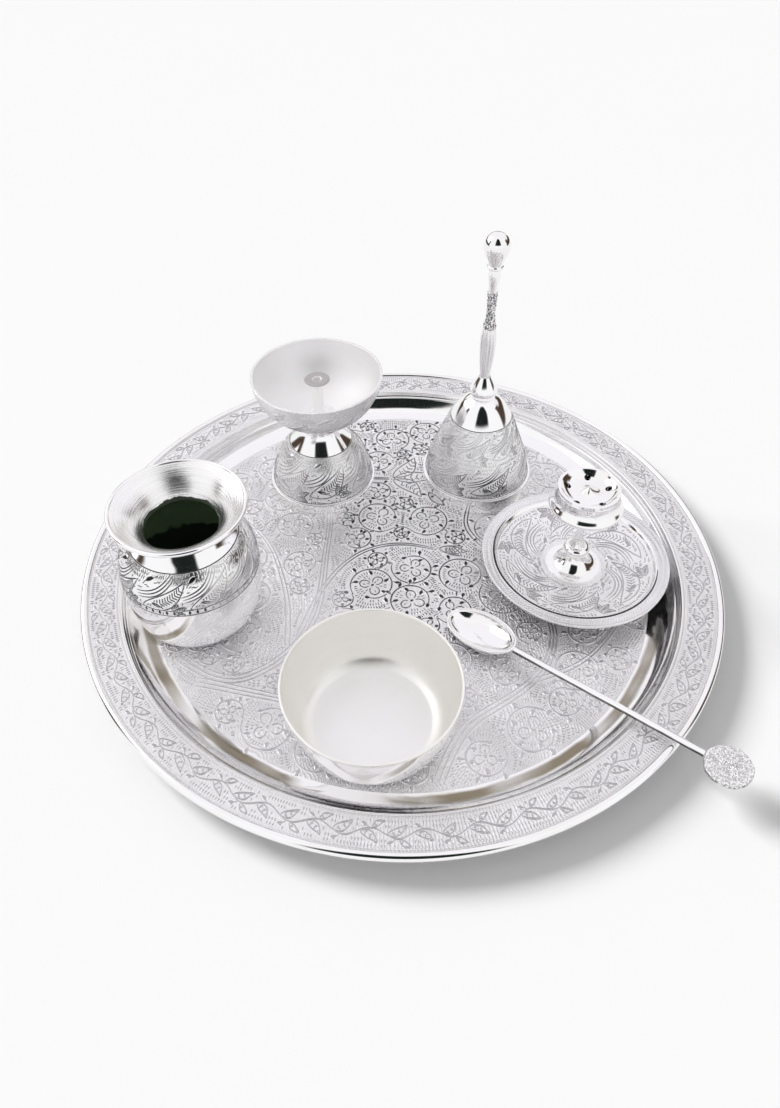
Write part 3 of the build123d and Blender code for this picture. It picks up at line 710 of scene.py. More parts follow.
def on_floor(flat):
    """Pattern places as they lie on the tray's floor."""
    place = np.concatenate([flat, np.full(flat.shape[:-1] + (1,), tray_base + SHEET)], -1)
    return place, np.array([0, 0, 1.0])


floor_ground = free_ticks(tick_starts, tick_ways, floor_vines + floor_blooms, on_open_floor,
                          np.full(2, -FLOOR_R), np.full(2, FLOOR_R))
# The floor's cuts are painted dark in a strip from the middle to the far edge: a painted reflection.
floor_cut = cut_silver("graver's cuts of the floor", DARK_CUT, pale_beside_reflection_strip)
cut_piece("thali_floor_vines", floor_vines, on_floor, floor_cut, "tray")
cut_piece("thali_floor_flowers", floor_blooms, on_floor, floor_cut, "tray")
cut_piece("thali_floor_ground", [floor_ground], on_floor, floor_cut, "tray")

# Engraving of the rim. A wavy stem runs round the band with a leaf in every hollow and a smaller one
# over every bend, and short strokes across the band fill the ground.
RIM_BAND = (113.5, 123.3)
RIM_MIDDLE_R = 118.6
RIM_WAVES = 44
RIM_WAVE_HEIGHT = 1.6
RIM_TICK = 1.25
RIM_TICK_ROWS = (0.2, 1.8, 3.4, 5.0, 6.6, 8.2)
RIM_CUT = (0.46, 0.45, 0.465, 1.0)
RIM_STEM_WIDTH = 0.65
RIM_LEAF_BASE, RIM_LEAF_TIP = (-3.2, 0.5), (2.4, -3.2)
RIM_LEAF_BREADTH, RIM_LEAF_CURL = 2.6, 0.6
RIM_BUD_BASE, RIM_BUD_TIP = (0.6, 1.9), (4.6, 4.1)
RIM_BUD_BREADTH, RIM_BUD_CURL = 1.8, 0.4
RIM_HOOK_BASE, RIM_HOOK_WAY = (-0.6, 1.6), (-0.5, 0.86)
RIM_HOOK_LENGTH, RIM_HOOK_WIDTH = 2.7, 1.5


def on_turned(rows, axis, base, reference_r):
    """How a pattern lies on a turned wall. Across is the arc at the reference radius, and up is the
    length along the outline rows, from its start; the way out is the outline's normal."""
    along = lengths_along(rows)
    run = unit(np.gradient(rows, axis=0))

    def lay(flat):
        """Place and way out of each pattern point."""
        radius, height, run_r, run_z = (
            np.interp(flat[..., 1], along, column) for column in (*rows.T, *run.T))
        across = turn_vectors(flat[..., 0] / reference_r)
        place = np.concatenate([radius[..., None] * across + axis, (height + base)[..., None]], -1)
        return place, np.concatenate([run_z[..., None] * across, -run_r[..., None]], -1)

    return lay, along[-1]


def band_ticks(length, rows, step, lean=0.0):
    """Rows of strokes across a band, evenly along its length: starts and ways."""
    count = int(length / step)
    across = (np.arange(count) + 0.5) * length / count
    starts = np.concatenate([np.stack([across + row % 0.4, np.full(count, row)], -1) for row in rows])
    return starts, np.broadcast_to(turn_vectors(np.array(np.pi / 2 - lean)), starts.shape)


def in_band(long, wide):
    """A test of whether places lie inside a band of this length and width."""
    def inside(spots):
        """Whether each place is in the band."""
        return ((spots > [0, 0.1]) & (spots < [long, wide - 0.1])).all(1)

    return inside


rim_edge_z = np.interp(RIM_BAND, (WALL_TOP_R, bead_ring_r), (WALL_TOP_Z, RIM_EDGE_Z))
lay_rim, rim_wide = on_turned(straight((RIM_BAND[1], rim_edge_z[1]), (RIM_BAND[0], rim_edge_z[0]), 12),
                              tray_centre, tray_base, RIM_MIDDLE_R)
rim_long = 2 * np.pi * RIM_MIDDLE_R
wave_step = rim_long / RIM_WAVES
vine_x = np.linspace(0, rim_long, RIM_WAVES * 16 + 1)
vine_y = rim_wide / 2 + RIM_WAVE_HEIGHT * np.sin(2 * np.pi * vine_x / wave_step)
rim_stem = np.stack([vine_x, vine_y], -1)[None]
rim_cuts = [(rim_stem, np.full(rim_stem.shape[:2], RIM_STEM_WIDTH))]
rim_draw = np.random.default_rng(13)
for wave in range(2 * RIM_WAVES):
    flip = np.array([1, -1.0 if wave % 2 else 1.0])
    crest = np.array([(wave / 2 + 0.25) * wave_step, rim_wide / 2])
    size, lean = rim_draw.uniform(0.75, 1.1), rim_draw.uniform(-0.8, 0.8)
    tip = crest + flip * RIM_LEAF_TIP * size + [lean, 0]
    rim_cuts += leaf_cuts(crest + flip * RIM_LEAF_BASE, tip, RIM_LEAF_BREADTH * size,
                          flip[1] * RIM_LEAF_CURL, 3)
    if wave % 3:
        tip = crest + flip * RIM_BUD_TIP * [size, 1]
        rim_cuts += leaf_cuts(crest + flip * RIM_BUD_BASE, tip, RIM_BUD_BREADTH * size,
                              flip[1] * RIM_BUD_CURL, 2)
    rim_cuts.append(hook_cuts(crest + [flip * RIM_HOOK_BASE], flip * [RIM_HOOK_WAY], flip[1:],
                              np.array([RIM_HOOK_LENGTH]), RIM_HOOK_WIDTH))
rim_starts, rim_ways = band_ticks(rim_long, RIM_TICK_ROWS, 1.0)
rim_cuts.append(free_ticks(rim_starts, rim_ways, rim_cuts, in_band(rim_long, rim_wide),
                           np.array([-3.0, -1.0]), np.array([rim_long + 6, rim_wide + 1]), RIM_TICK))
rim_finish = cut_silver("graver's cuts of the rim", RIM_CUT)
cut_piece("thali_rim_vine", rim_cuts, lay_rim, rim_finish, "tray")

# Water pot. A spun belly of plated brass, plain below and engraved above, with a flared mouth seamed on.
# The funnel is left with its spinning lines, and the inside is bare metal gone dark green: the plating
# ends at the throat in an uneven edge.
KALASH_FOOT_R = 17.0
KALASH_BELLY_R = 25.8
KALASH_WALL = 1.2
KALASH_SHARES = ((0.822, 0.054), (0.942, 0.195), (0.996, 0.39), (1, 0.584), (0.953, 0.764), (0.806, 0.892),
                 (0.659, 0.959), (0.597, 1))
KALASH_BAND = (26.5, 42.2)
MOUTH_SHARES = ((0.648, 0.26), (0.776, 0.593), (0.945, 0.87))
MOUTH_BEAD_R = 0.8
SMALL_EASE = 0.2
THROAT_R = 13.4
FUNNEL_SHARES = ((0.85, 0.838), (0.748, 0.662), (0.616, 0.324))
THROAT_EDGE = 1.0
THROAT_DEPTH = 10.0
SHADED_FLOOR_DEPTH = 24.0
BARE_DARK = (0.035, 0.052, 0.03, 1.0)
BARE_GREEN = (0.24, 0.34, 0.20, 1.0)
VESSEL_CUT = (0.03, 0.029, 0.032, 1.0)
PALE_VESSEL_CUT = (0.64, 0.63, 0.645, 1.0)
KALASH_REFLECTION_PATCH = (-9, 27, 44, 17)
FEATHER_SIZES = (0.85, 1.05)
FEATHER_RISE = 0.18
FEATHER_TIP = (0.95, 0.62)
FEATHER_BREADTH = 0.34
FEATHER_CURL = -0.12
FEATHER_VEINS = 11
FAN_PLACE = (0.62, -0.06)
FAN_TURNS = (15, 45)
FAN_SPREAD = 44
SWEEP_LIFTS = (0.2, 0.27, 0.34)
SWEEP_UP = (-0.45, 0.9)
SWEEP_ASIDE = (-0.55, 0.83)
SWEEP_RUN = 0.85
HOOK_PLACES = ((0.0, 0.5), (0.5, -0.02))
HOOK_TURNS = (1.1, 2.2)
HOOK_LENGTH = 0.28


def shared(shares, radius, height):
    """Points given as shares of a radius and a height."""
    return [(across * radius, up * height) for across, up in shares]


def lined(line, wall):
    """An outline moved inwards by the wall, along its normals."""
    return line + wall * left_of(unit(np.gradient(line, axis=0)))


def between(line, low, high):
    """The points of an outline whose height lies between two heights, with points at those heights."""
    heights = np.concatenate([[low], line[(line[:, 1] > low) & (line[:, 1] < high), 1], [high]])
    return np.stack([np.interp(heights, line[:, 1], line[:, 0]), heights], -1)


def up_the_wall(place):
    """Millimetres across and along strokes on a vessel's wall, by the turned piece's own UV map."""
    turned_map = place.node("UVMap", {"uv_map": "turned"}, {})
    return (turned_map.part("X") * (2 * np.pi * KALASH_BELLY_R) + 9 * place.noise(9, 1.0),
            turned_map.part("Y") + 9 * place.noise(12, 1.0))


def lathe_rings(place, along):
    """Noise drawn out round a turned piece by its own UV map, with so many rings to the millimetre."""
    turned_map = place.node("UVMap", {"uv_map": "turned"}, {})
    drawn = turned_map.node("Mapping", {}, {"Vector": turned_map, "Scale": (2, along, 1)})
    return drawn.node("TexNoise", {}, {"Vector": drawn, "Scale": 1.0, "Detail": 5.0})


def spun_silver(name, roughness, bright, dull):
    """Plate left from the spinning lathe: fine rings of two tones that run round the piece."""
    material, shader, place = new_finish(name)
    rings = lathe_rings(place, 5)
    cloud = place.noise(18)
    feed(shader, Base_Color=(rings * 0.6 + cloud * 0.4).clipped(0.35, 0.7).blend(bright, dull),
         Roughness=roughness - 0.05 + 0.1 * rings, Normal=rings.bump(0.4, 0.05))
    return material


def plated_throat(name, edge_height):
    """Silver with broad spinning lines above an uneven edge, and bare metal below it: dark at the edge,
    green further down, and dark again deep down as painted shade towards the pot's floor.
    """
    material, shader, place = new_finish(name)
    rings = lathe_rings(place, 1.6)
    ragged = place.part("Z") + 4.5 * MM * (place.noise(5, 4.0) - 0.5)
    plated = ragged.clipped((edge_height - 0.2) * MM, (edge_height + 0.2) * MM)
    deep = edge_height * MM - place.part("Z") + 6 * MM * (place.noise(4, 4.0) - 0.5)
    bare = deep.clipped(0, THROAT_DEPTH * MM).blend(BARE_DARK, BARE_GREEN)
    # Deep in the pot the bare metal goes dark again: painted shade towards the floor.
    bare = deep.clipped((SHADED_FLOOR_DEPTH - 0.8) * MM, (SHADED_FLOOR_DEPTH + 0.8) * MM).blend(bare, BARE_DARK)
    bright = rings.clipped(0.3, 0.7).blend(SILVER, WARM_SILVER)
    feed(shader, Base_Color=plated.blend(bare, bright), Metallic=0.15 + 0.85 * plated,
         Roughness=0.4 - 0.24 * plated + 0.2 * rings, Normal=rings.bump(0.8, 0.14))
    return material


def pale_beside_front_reflection(axis, base, patch):
    """A test of how far cuts take the pale tone: none in a patch at a vessel's front, where their dark is a
    painted reflection, and all away from it. A patch is how far beside the axis it lies, its low and high
    edge above the base and half its width."""
    beside, low, high, half = patch
    tall = (high - low) / 2

    def pale_share(place):
        """Share by which a cut at each place takes the pale tone."""
        ragged = 5 * MM * (place.noise(6) - 0.5)
        aside = place.part("X") - (axis[0] + beside) * MM
        aside = aside.through("ABSOLUTE") + ragged
        height = place.part("Z") - (base + (low + high) / 2) * MM
        height = height.through("ABSOLUTE") + ragged
        behind = place.part("Y") - axis[1] * MM
        level = height.clipped(tall * MM, (tall + 4) * MM)
        far = behind.math("MAXIMUM", behind.clipped(-6 * MM, 0), level)
        return far.math("MAXIMUM", far, aside.clipped(half * MM, (half + 5) * MM))

    return pale_share


def feather_band(long, wide, rows, count, seed, extra=()):
    """A band of feather leaves round a wall. In every row they lie aslant one after the other, some longer
    and some shorter, with lines that sweep along above each, a small fan below it and hooked dots, and
    ticks that turn about fill the ground."""
    draw = np.random.default_rng(seed)
    cell = np.array([long / count, wide / rows])
    tall = cell[1]
    share = np.linspace(0, 1, 16)[:, None]
    lifts = np.array(SWEEP_LIFTS)[:, None, None] * tall * SWEEP_UP
    bow = FEATHER_CURL * tall * np.sin(np.pi * share) * SWEEP_ASIDE
    cuts = list(extra)
    for row in range(rows):
        for number in range(count):
            size = draw.uniform(*FEATHER_SIZES)
            base = cell * [number + row / 2, row + FEATHER_RISE]
            tip = base + size * cell * FEATHER_TIP
            cuts += leaf_cuts(base, tip, FEATHER_BREADTH * tall, FEATHER_CURL * tall, FEATHER_VEINS)
            cuts += fan_cuts(base + cell * FAN_PLACE, draw.uniform(*FAN_TURNS), FEATHER_BREADTH * tall,
                             FAN_SPREAD)
            cuts.append(stroke(base + lifts + SWEEP_RUN * share * (tip - base) + bow, PETAL_WIDTH))
            cuts.append(hook_cuts(base + cell * HOOK_PLACES, turn_vectors(HOOK_TURNS), np.array([-1.0, 1.0]),
                                  np.full(2, HOOK_LENGTH * tall), DOT_WIDTH))
    copies = [(lines + [shift, 0], widths) for lines, widths in cuts for shift in (-long, 0, long)]
    starts, ways = band_ticks(long, np.arange(0.3, wide - TICK_LENGTH, TICK_ROW), TICK_STEP)
    sway = np.sin(starts[:, 0] / 3.1) + np.sin(starts[:, 1] / 2.3 + 1)
    ways = turn_vectors(sway + draw.normal(0.8, 0.2, len(starts)))
    ticks = free_ticks(starts, ways, copies, in_band(long, wide), np.array([-4.0, -3.0]),
                       np.array([long + 4, wide + 3]))
    return cuts + [ticks]


def ring_lines(long, levels, width):
    """Turned lines that run right round a band at these levels."""
    lines = np.stack(np.meshgrid(np.linspace(0, long, 161), levels), -1)
    return [(lines, np.full(lines.shape[:2], width))]


def dot_row(long, level, count, length=1.9):
    """A row of leaf dots that stand along a band."""
    starts = np.stack([(np.arange(count) + 0.5) * long / count, np.full(count, level)], -1)
    return [dot_cuts(starts, np.tile([0.0, 1.0], (count, 1)), length, 1.5)]


kalash_axis, kalash_base, _, KALASH_H = turned_box("kalash_body")
kalash_wall = smooth_line([(KALASH_FOOT_R, 0), *shared(KALASH_SHARES, KALASH_BELLY_R, KALASH_H)], 110)
kalash_lining = between(lined(kalash_wall, KALASH_WALL), KALASH_WALL, KALASH_H)[::-1]
kalash_outline = joined(
    (0, 0), between(kalash_wall, 0, KALASH_BAND[0]), between(kalash_wall, *KALASH_BAND),
    between(kalash_wall, KALASH_BAND[1], KALASH_H), kalash_lining, (0, KALASH_WALL))
pot_silver = polished_silver("polished silver of the vessels", 0.04, 0.12)
worked_silver = struck_silver("struck silver of the vessels", 0.2, up_the_wall, 0.09)
kalash_silver = struck_silver("struck silver of the water pot", 0.08, up_the_wall, 0.06)
throat_finish = plated_throat("throat of the water pot", kalash_base + KALASH_H + THROAT_EDGE)
turned_piece("kalash_belly", ("kalash_body", "engraved_silver", "kalash"), kalash_outline,
             (pot_silver, throat_finish, kalash_silver), kalash_axis, kalash_base, (0, 0, 2, 0, 1, 1, 1))

mouth_axis, mouth_base, MOUTH_R, MOUTH_H = turned_box("kalash_neck")
mouth_wall = smooth_line([kalash_wall[-1] * [1, 0], *shared(MOUTH_SHARES, MOUTH_R, MOUTH_H)], 40)
lip_run = arc((MOUTH_R - MOUTH_BEAD_R, MOUTH_H - MOUTH_BEAD_R), MOUTH_BEAD_R, -120, 150, 24)
lip_run[0] = mouth_wall[-1]
funnel = smooth_line([lip_run[-1], *shared(FUNNEL_SHARES, MOUTH_R, MOUTH_H), (THROAT_R, 0)], 50)
mouth_outline = joined((THROAT_R, 0), mouth_wall, lip_run, funnel, ease=SMALL_EASE)
turned_piece("kalash_mouth", ("kalash_neck", "polished_silver", "kalash"), mouth_outline,
             (pot_silver, throat_finish), mouth_axis, mouth_base, (0, 0, 0, 1))

kalash_long = 2 * np.pi * KALASH_BELLY_R
lay_kalash, kalash_wide = on_turned(between(kalash_wall, *KALASH_BAND), kalash_axis, kalash_base,
                                    KALASH_BELLY_R)
# The water pot's cuts are painted dark in a patch at its front: a painted reflection.
kalash_cut = cut_silver("graver's cuts of the water pot", VESSEL_CUT,
                        pale_beside_front_reflection(kalash_axis, kalash_base, KALASH_REFLECTION_PATCH), PALE_VESSEL_CUT)
line_tarnish_and_shadow = cut_silver("tarnish in turned lines and a painted shadow", VESSEL_CUT)
kalash_leaves = feather_band(kalash_long, kalash_wide, 1, 9, 21, dot_row(kalash_long, 0.5, 60))
cut_piece("kalash_vine", kalash_leaves, lay_kalash, kalash_cut, "kalash")
cut_piece("kalash_lines", ring_lines(kalash_long, (0.2, 2.7, kalash_wide - 0.2), 0.6), lay_kalash, line_tarnish_and_shadow,
          "kalash")

# Oil lamp. A spun foot with an engraved bell shape and a polished waist, a shallow bowl engraved outside
# and satin inside, and a turned wick post that a screw from below clamps to the bowl's floor.
FOOT_R = 22.9
FOOT_WALL = 1.8
FOOT_BAND_H = 4.2
FOOT_ENGRAVED_TOP = 24.2
FOOT_MIDDLE_R = 21.068
FOOT_REFLECTION_PATCH = (3, 6, 16, 8)
FOOT_SHARES = ((1, 0), (0.983, 0.167), (0.91, 0.347), (0.775, 0.536), (0.594, 0.672), (0.472, 0.767),
               (0.376, 0.875), (0.358, 1))
BOWL_FOOT_R = 8.0
BOWL_WALL = 1.2
BOWL_SHARES = ((0.51, 0.12), (0.745, 0.335), (0.91, 0.63), (1, 1))
BOWL_BAND = (3.0, 20.8)
BOWL_MIDDLE = 0.86
SCREW_HEAD_H = 1.6
SCREW_R = 1.3
SCREW_HOLE_H = 5.05
WICK_R = 2.4
WICK_FLANGE_H = 1.6
WICK_FLANGE_R = 4.4
WICK_HEAD_H = 3.4
WICK_EDGE_H = 0.8
WICK_BORE_R = 1.8
WICK_BORE_H = 8.0
SINGED = (0.36, 0.34, 0.35, 1.0)
LESS_SINGED = (0.5, 0.475, 0.485, 1.0)
RUBBED_BOWL_CUT = (0.82, 0.81, 0.825, 1.0)

foot_axis, foot_base, FOOT_BAND_R, FOOT_H = turned_box("lamp_foot")
foot_wall = smooth_line(shared(FOOT_SHARES, FOOT_R, FOOT_H), 90)
foot_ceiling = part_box("lamp_screw")[0].z / MM + SCREW_HEAD_H - foot_base
foot_lining = between(lined(foot_wall, FOOT_WALL), 0, foot_ceiling)[::-1]
foot_outline = joined(
    (SCREW_R, foot_ceiling), foot_lining, (FOOT_BAND_R, 0), (FOOT_BAND_R, FOOT_BAND_H),
    between(foot_wall, FOOT_BAND_H, FOOT_ENGRAVED_TOP), between(foot_wall, FOOT_ENGRAVED_TOP, FOOT_H),
    (SCREW_R, FOOT_H), (SCREW_R, foot_ceiling))
band_silver = polished_silver("brushed silver of the bands", 0.12)
turned_piece("lamp_foot_shell", ("lamp_foot", "engraved_silver", "lamp"), foot_outline,
             (pot_silver, worked_silver, band_silver), foot_axis, foot_base, (0, 0, 0, 2, 2, 1, 0, 0, 0))
lay_foot, foot_wide = on_turned(between(foot_wall, FOOT_BAND_H + 0.4, FOOT_ENGRAVED_TOP), foot_axis,
                                foot_base, FOOT_MIDDLE_R)
# The foot's cuts are painted dark in a patch at its front: a painted reflection.
foot_cut = cut_silver("graver's cuts of the lamp's foot", VESSEL_CUT,
                      pale_beside_front_reflection(foot_axis, foot_base, FOOT_REFLECTION_PATCH), PALE_VESSEL_CUT)
foot_long = 2 * np.pi * FOOT_MIDDLE_R
cut_piece("lamp_foot_vine", feather_band(foot_long, foot_wide, 1, 7, 31), lay_foot, foot_cut, "lamp")
cut_piece("lamp_foot_lines", ring_lines(foot_long, (0.3, foot_wide - 0.2), 0.5), lay_foot, line_tarnish_and_shadow, "lamp")

bowl_axis, bowl_base, BOWL_R, BOWL_H = turned_box("lamp_bowl")
bowl_wall = smooth_line([(BOWL_FOOT_R, 0), *shared(BOWL_SHARES, BOWL_R, BOWL_H)], 70)
bowl_lining = between(lined(bowl_wall, BOWL_WALL), BOWL_WALL, BOWL_H)[::-1]
bowl_outline = joined((SCREW_R, 0), bowl_wall, bowl_lining, (SCREW_R, BOWL_WALL), (SCREW_R, 0))
satin = spun_silver("satin silver of the bowls", 0.56, SILVER, WARM_SILVER)
turned_piece("lamp_bowl_shell", ("lamp_bowl", "satin_silver", "lamp"), bowl_outline, (worked_silver, satin),
             bowl_axis, bowl_base, (0, 0, 0, 1, 1, 0))
bowl_middle_r = BOWL_R * BOWL_MIDDLE
lay_bowl, bowl_wide = on_turned(between(bowl_wall, *BOWL_BAND), bowl_axis, bowl_base, bowl_middle_r)
bowl_cut = cut_silver("graver's cuts of the lamp's bowl", RUBBED_BOWL_CUT)
bowl_leaves = feather_band(2 * np.pi * bowl_middle_r, bowl_wide, 1, 8, 33)
cut_piece("lamp_bowl_vine", bowl_leaves, lay_bowl, bowl_cut, "lamp")


def matt_plate(name, first, second):
    """Plate that was never polished: dull, and uneven from the bath in two tones."""
    material, shader, place = new_finish(name)
    shader.inputs["Metallic"].default_value = 0.1
    cloud = place.noise(2, 4.0)
    feed(shader, Base_Color=cloud.blend(first, second), Roughness=0.5 + 0.2 * cloud)
    return material


wick_axis, wick_base, WICK_HEAD_R, WICK_H = turned_box("lamp_wick_post")
wick_outline = joined(
    (0, SCREW_HOLE_H), (SCREW_R, SCREW_HOLE_H), (SCREW_R, 0), (WICK_FLANGE_R, 0),
    (WICK_FLANGE_R, WICK_FLANGE_H), (WICK_R, WICK_FLANGE_H), (WICK_R, WICK_H - WICK_HEAD_H),
    (WICK_HEAD_R, WICK_H - WICK_EDGE_H), (WICK_HEAD_R, WICK_H), (WICK_BORE_R, WICK_H),
    (WICK_BORE_R, WICK_H - WICK_BORE_H), (0, WICK_H - WICK_BORE_H))
singed_finish = matt_plate("singed end of the wick post", SINGED, LESS_SINGED)
bore_finish = matt_plate("matt plate of the bore", SILVER, WARM_SILVER)
turned_piece("lamp_wick_post_turned", ("lamp_wick_post", "polished_silver", "lamp"), wick_outline,
             (pot_silver, singed_finish, bore_finish), wick_axis, wick_base,
             (0, 0, 0, 0, 0, 0, 0, 0, 1, 2, 2), 96)


def plain_brass(name):
    """Bare turned brass: yellow, with a dull brown tarnish that comes and goes."""
    material, shader, place = new_finish(name)
    tarnish = place.noise(3, 4.0)
    feed(shader, Base_Color=tarnish.clipped(0.4, 0.75).blend((0.79, 0.58, 0.26, 1), (0.42, 0.29, 0.12, 1)),
         Roughness=0.22 + 0.3 * tarnish)
    return material


def refinish(node, finish):
    """Give a node of the frame that stays as it is another finish."""
    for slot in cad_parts[node].material_slots:
        slot.material = finish


brass = plain_brass("bare brass")
refinish("lamp_screw", brass)

# Bell. A cast cup with a plain band at its mouth, engraved waist and polished shoulder, under a collar,
# a handle cast with flutes and leaf scales, and a drop-shaped finial. Inside, an eye nut carries the
# clapper.
BELL_R = 23.8
BELL_WALL = 1.6
BELL_BAND_H = 7.0
BELL_ENGRAVED_TOP = 37.0
BELL_MIDDLE_R = 21.42
BELL_REFLECTION_PATCH = (0, 8, 16, 8)
BELL_HOLE_R = 2.4
BELL_SHARES = ((1, 0), (0.985, 0.12), (0.955, 0.215), (0.888, 0.345), (0.793, 0.485), (0.703, 0.6),
               (0.625, 0.71), (0.54, 0.805), (0.42, 0.905), (0.306, 0.97), (0.21, 1))
COLLAR_SEAT_R = 5.0
COLLAR_EDGE = 0.8
COLLAR_TOP_BORE_R = 2.16
COLLAR_SHARES = ((1, 0.3), (0.9, 0.52), (0.63, 0.8), (0.42, 1))
HANDLE_R = 3.15
HANDLE_EASE = 0.1
HANDLE_SHARES = ((0.76, 0), (0.9, 0.16), (1, 0.37), (0.84, 0.48), (0.62, 0.56), (0.62, 0.72), (0.74, 0.85),
                 (0.87, 0.95), (0.79, 1))
HANDLE_STIPPLED = (0.47, 0.8)
FLUTES = 12
FLUTED = (0.27, 0.2)
FLUTE_DEPTH = 0.13
SCALES = 8
SCALE_ROWS = 22
SCALED = (0.64, 0.16)
SCALE_DEPTH = 0.2
HOLLOW = 0.88
FINIAL_RING_R = 3.2
FINIAL_RING_H = 0.9
FINIAL_SHARES = ((0.54, 0.09), (0.66, 0.22), (0.88, 0.42), (1, 0.64), (0.88, 0.82), (0.55, 0.95))
DARK_SILVER = (0.2, 0.195, 0.2, 1.0)

bell_axis, bell_base, BELL_BAND_R, BELL_H = turned_box("bell_cup")
bell_wall = smooth_line(shared(BELL_SHARES, BELL_R, BELL_H), 110)
bell_ceiling = BELL_H - BELL_WALL
bell_lining = lined(bell_wall, BELL_WALL)
bell_lining = between(bell_lining[np.argsort(bell_lining[:, 1])], 0, bell_ceiling - 0.1)[::-1]
bell_outline = joined(
    (BELL_HOLE_R, bell_ceiling), bell_lining, (BELL_BAND_R, 0), (BELL_BAND_R, BELL_BAND_H),
    between(bell_wall, BELL_BAND_H, BELL_ENGRAVED_TOP), between(bell_wall, BELL_ENGRAVED_TOP, BELL_H),
    (BELL_HOLE_R, BELL_H), (BELL_HOLE_R, bell_ceiling))
turned_piece("bell_shell", ("bell_cup", "engraved_silver", "bell"), bell_outline,
             (pot_silver, worked_silver, band_silver), bell_axis, bell_base, (0, 0, 0, 2, 2, 1, 0, 0, 0))
lay_bell, bell_wide = on_turned(between(bell_wall, BELL_BAND_H + 0.4, BELL_ENGRAVED_TOP), bell_axis,
                                bell_base, BELL_MIDDLE_R)
# The bell's cuts are painted dark in a patch at its front: a painted reflection.
bell_cut = cut_silver("graver's cuts of the bell", VESSEL_CUT,
                      pale_beside_front_reflection(bell_axis, bell_base, BELL_REFLECTION_PATCH), PALE_VESSEL_CUT)
bell_long = 2 * np.pi * BELL_MIDDLE_R
cut_piece("bell_vine", feather_band(bell_long, bell_wide, 2, 7, 41), lay_bell, bell_cut, "bell")
cut_piece("bell_lines", ring_lines(bell_long, (0.3, bell_wide - 0.2), 0.5), lay_bell, line_tarnish_and_shadow, "bell")

collar_axis, collar_base, COLLAR_R, COLLAR_H = turned_box("bell_collar")
collar_wall = smooth_line([(COLLAR_SEAT_R, COLLAR_EDGE), *shared(COLLAR_SHARES, COLLAR_R, COLLAR_H)], 40)
collar_outline = joined(
    (BELL_HOLE_R, 0), (COLLAR_SEAT_R, 0), collar_wall, (COLLAR_TOP_BORE_R, COLLAR_H), (BELL_HOLE_R, 0),
    ease=SMALL_EASE)
turned_piece("bell_collar_turned", ("bell_collar", "polished_silver", "bell"), collar_outline, (pot_silver,),
             collar_axis, collar_base, steps=96)

handle_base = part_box("bell_collar")[1].z / MM
HANDLE_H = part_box("bell_finial")[0].z / MM - handle_base


def leaf_ridges(points):
    """Ridges of the cast handle: twelve flutes on its lower swelling, and above the waist rows of leaf
    scales that lie half a step apart. Each is a share of the radius, by angle and height."""
    angle = np.arctan2(points[:, 1], points[:, 0])
    up = points[:, 2] / HANDLE_H
    flute = np.abs(np.sin(FLUTES / 2 * angle)) * np.exp(-((up - FLUTED[0]) / FLUTED[1])**4)
    row = up * SCALE_ROWS
    scale = np.abs(np.sin(SCALES / 2 * angle + np.pi / 2 * np.floor(row))) * (row % 1)
    scale = scale * (np.abs(up - SCALED[0]) < SCALED[1])
    swell = HOLLOW + FLUTE_DEPTH * flute + SCALE_DEPTH * scale
    return points * np.stack([swell, swell, np.ones_like(up)], -1)


def stippled_silver(name, specks):
    """Cast plate with a punched ground: specks of another tone between bright grains."""
    material, shader, place = new_finish(name)
    speck = place.noise(0.7, 2.0)
    feed(shader, Base_Color=speck.clipped(0.4, 0.6).blend(specks, SILVER), Roughness=0.14 + 0.2 * speck,
         Normal=speck.bump(0.5, 0.15))
    return material


handle_wall = smooth_line(shared(HANDLE_SHARES, HANDLE_R, HANDLE_H), 240)
handle_steps = HANDLE_H * np.array([0, *HANDLE_STIPPLED, 1])
handle_runs = [between(handle_wall, low, high) for low, high in zip(handle_steps, handle_steps[1:])]
handle_outline = joined((0, 0), *handle_runs, (0, HANDLE_H), ease=HANDLE_EASE)
cast_finish = struck_silver("cast silver of the handle", 0.14)
stipple_and_edge_shade_finish = stippled_silver("stippled silver of the handle", DARK_SILVER)
turned_piece("bell_handle_cast", ("bell_handle", "cast_silver", "bell"), handle_outline,
             (cast_finish, stipple_and_edge_shade_finish, pot_silver), bell_axis, handle_base, (0, 0, 1, 2, 2), 96,
             leaf_ridges)

finial_axis, finial_base, FINIAL_R, FINIAL_H = turned_box("bell_finial")
finial_wall = smooth_line([*shared(FINIAL_SHARES, FINIAL_R, FINIAL_H), (0, FINIAL_H)], 60)
finial_outline = joined(
    (0, 0), (FINIAL_RING_R, 0), (FINIAL_RING_R, FINIAL_RING_H), finial_wall, ease=SMALL_EASE)
turned_piece("bell_finial_drop", ("bell_finial", "polished_silver", "bell"), finial_outline, (pot_silver,),
             finial_axis, finial_base, steps=128)
refinish("bell_eye_nut", brass)
refinish("bell_clapper", brass)

# Incense stand. A shallow engraved dish on a foot ring catches the ash. A turned stem with a trumpet and
# a knob stands in it, held by a stud and a nut, and carries a hollow head, which is closed by a dished
# cap with five holes for the sticks.
FLANGE_R = 32.2
FLANGE_RISE = 0.7
DISH_WALL = 1.0
WELL_STEP = 1.3
WELL_EDGE_R = 31.4
WELL_SHARES = ((0.573, 0.2), (0.796, 0.547), (1, 1))
STUD_R = 1.55
STEM_BASE_R = 10.9
STEM_BASE_EDGE = 0.4
STEM_H = 28.5
STEM_EASE = 0.15
STUD_DROP = 3.5
TRUMPET_H = 6.9
TRUMPET_SHARES = ((0.752, 0.116), (0.569, 0.304), (0.413, 0.594), (0.294, 1))
KNOB_R = 5.3
KNOB_H = 4.4
STEM_NECK_R = 2.0
STEM_NECK_SHARES = (0.2, 0.75)
STEM_SEAT_R = 3.4
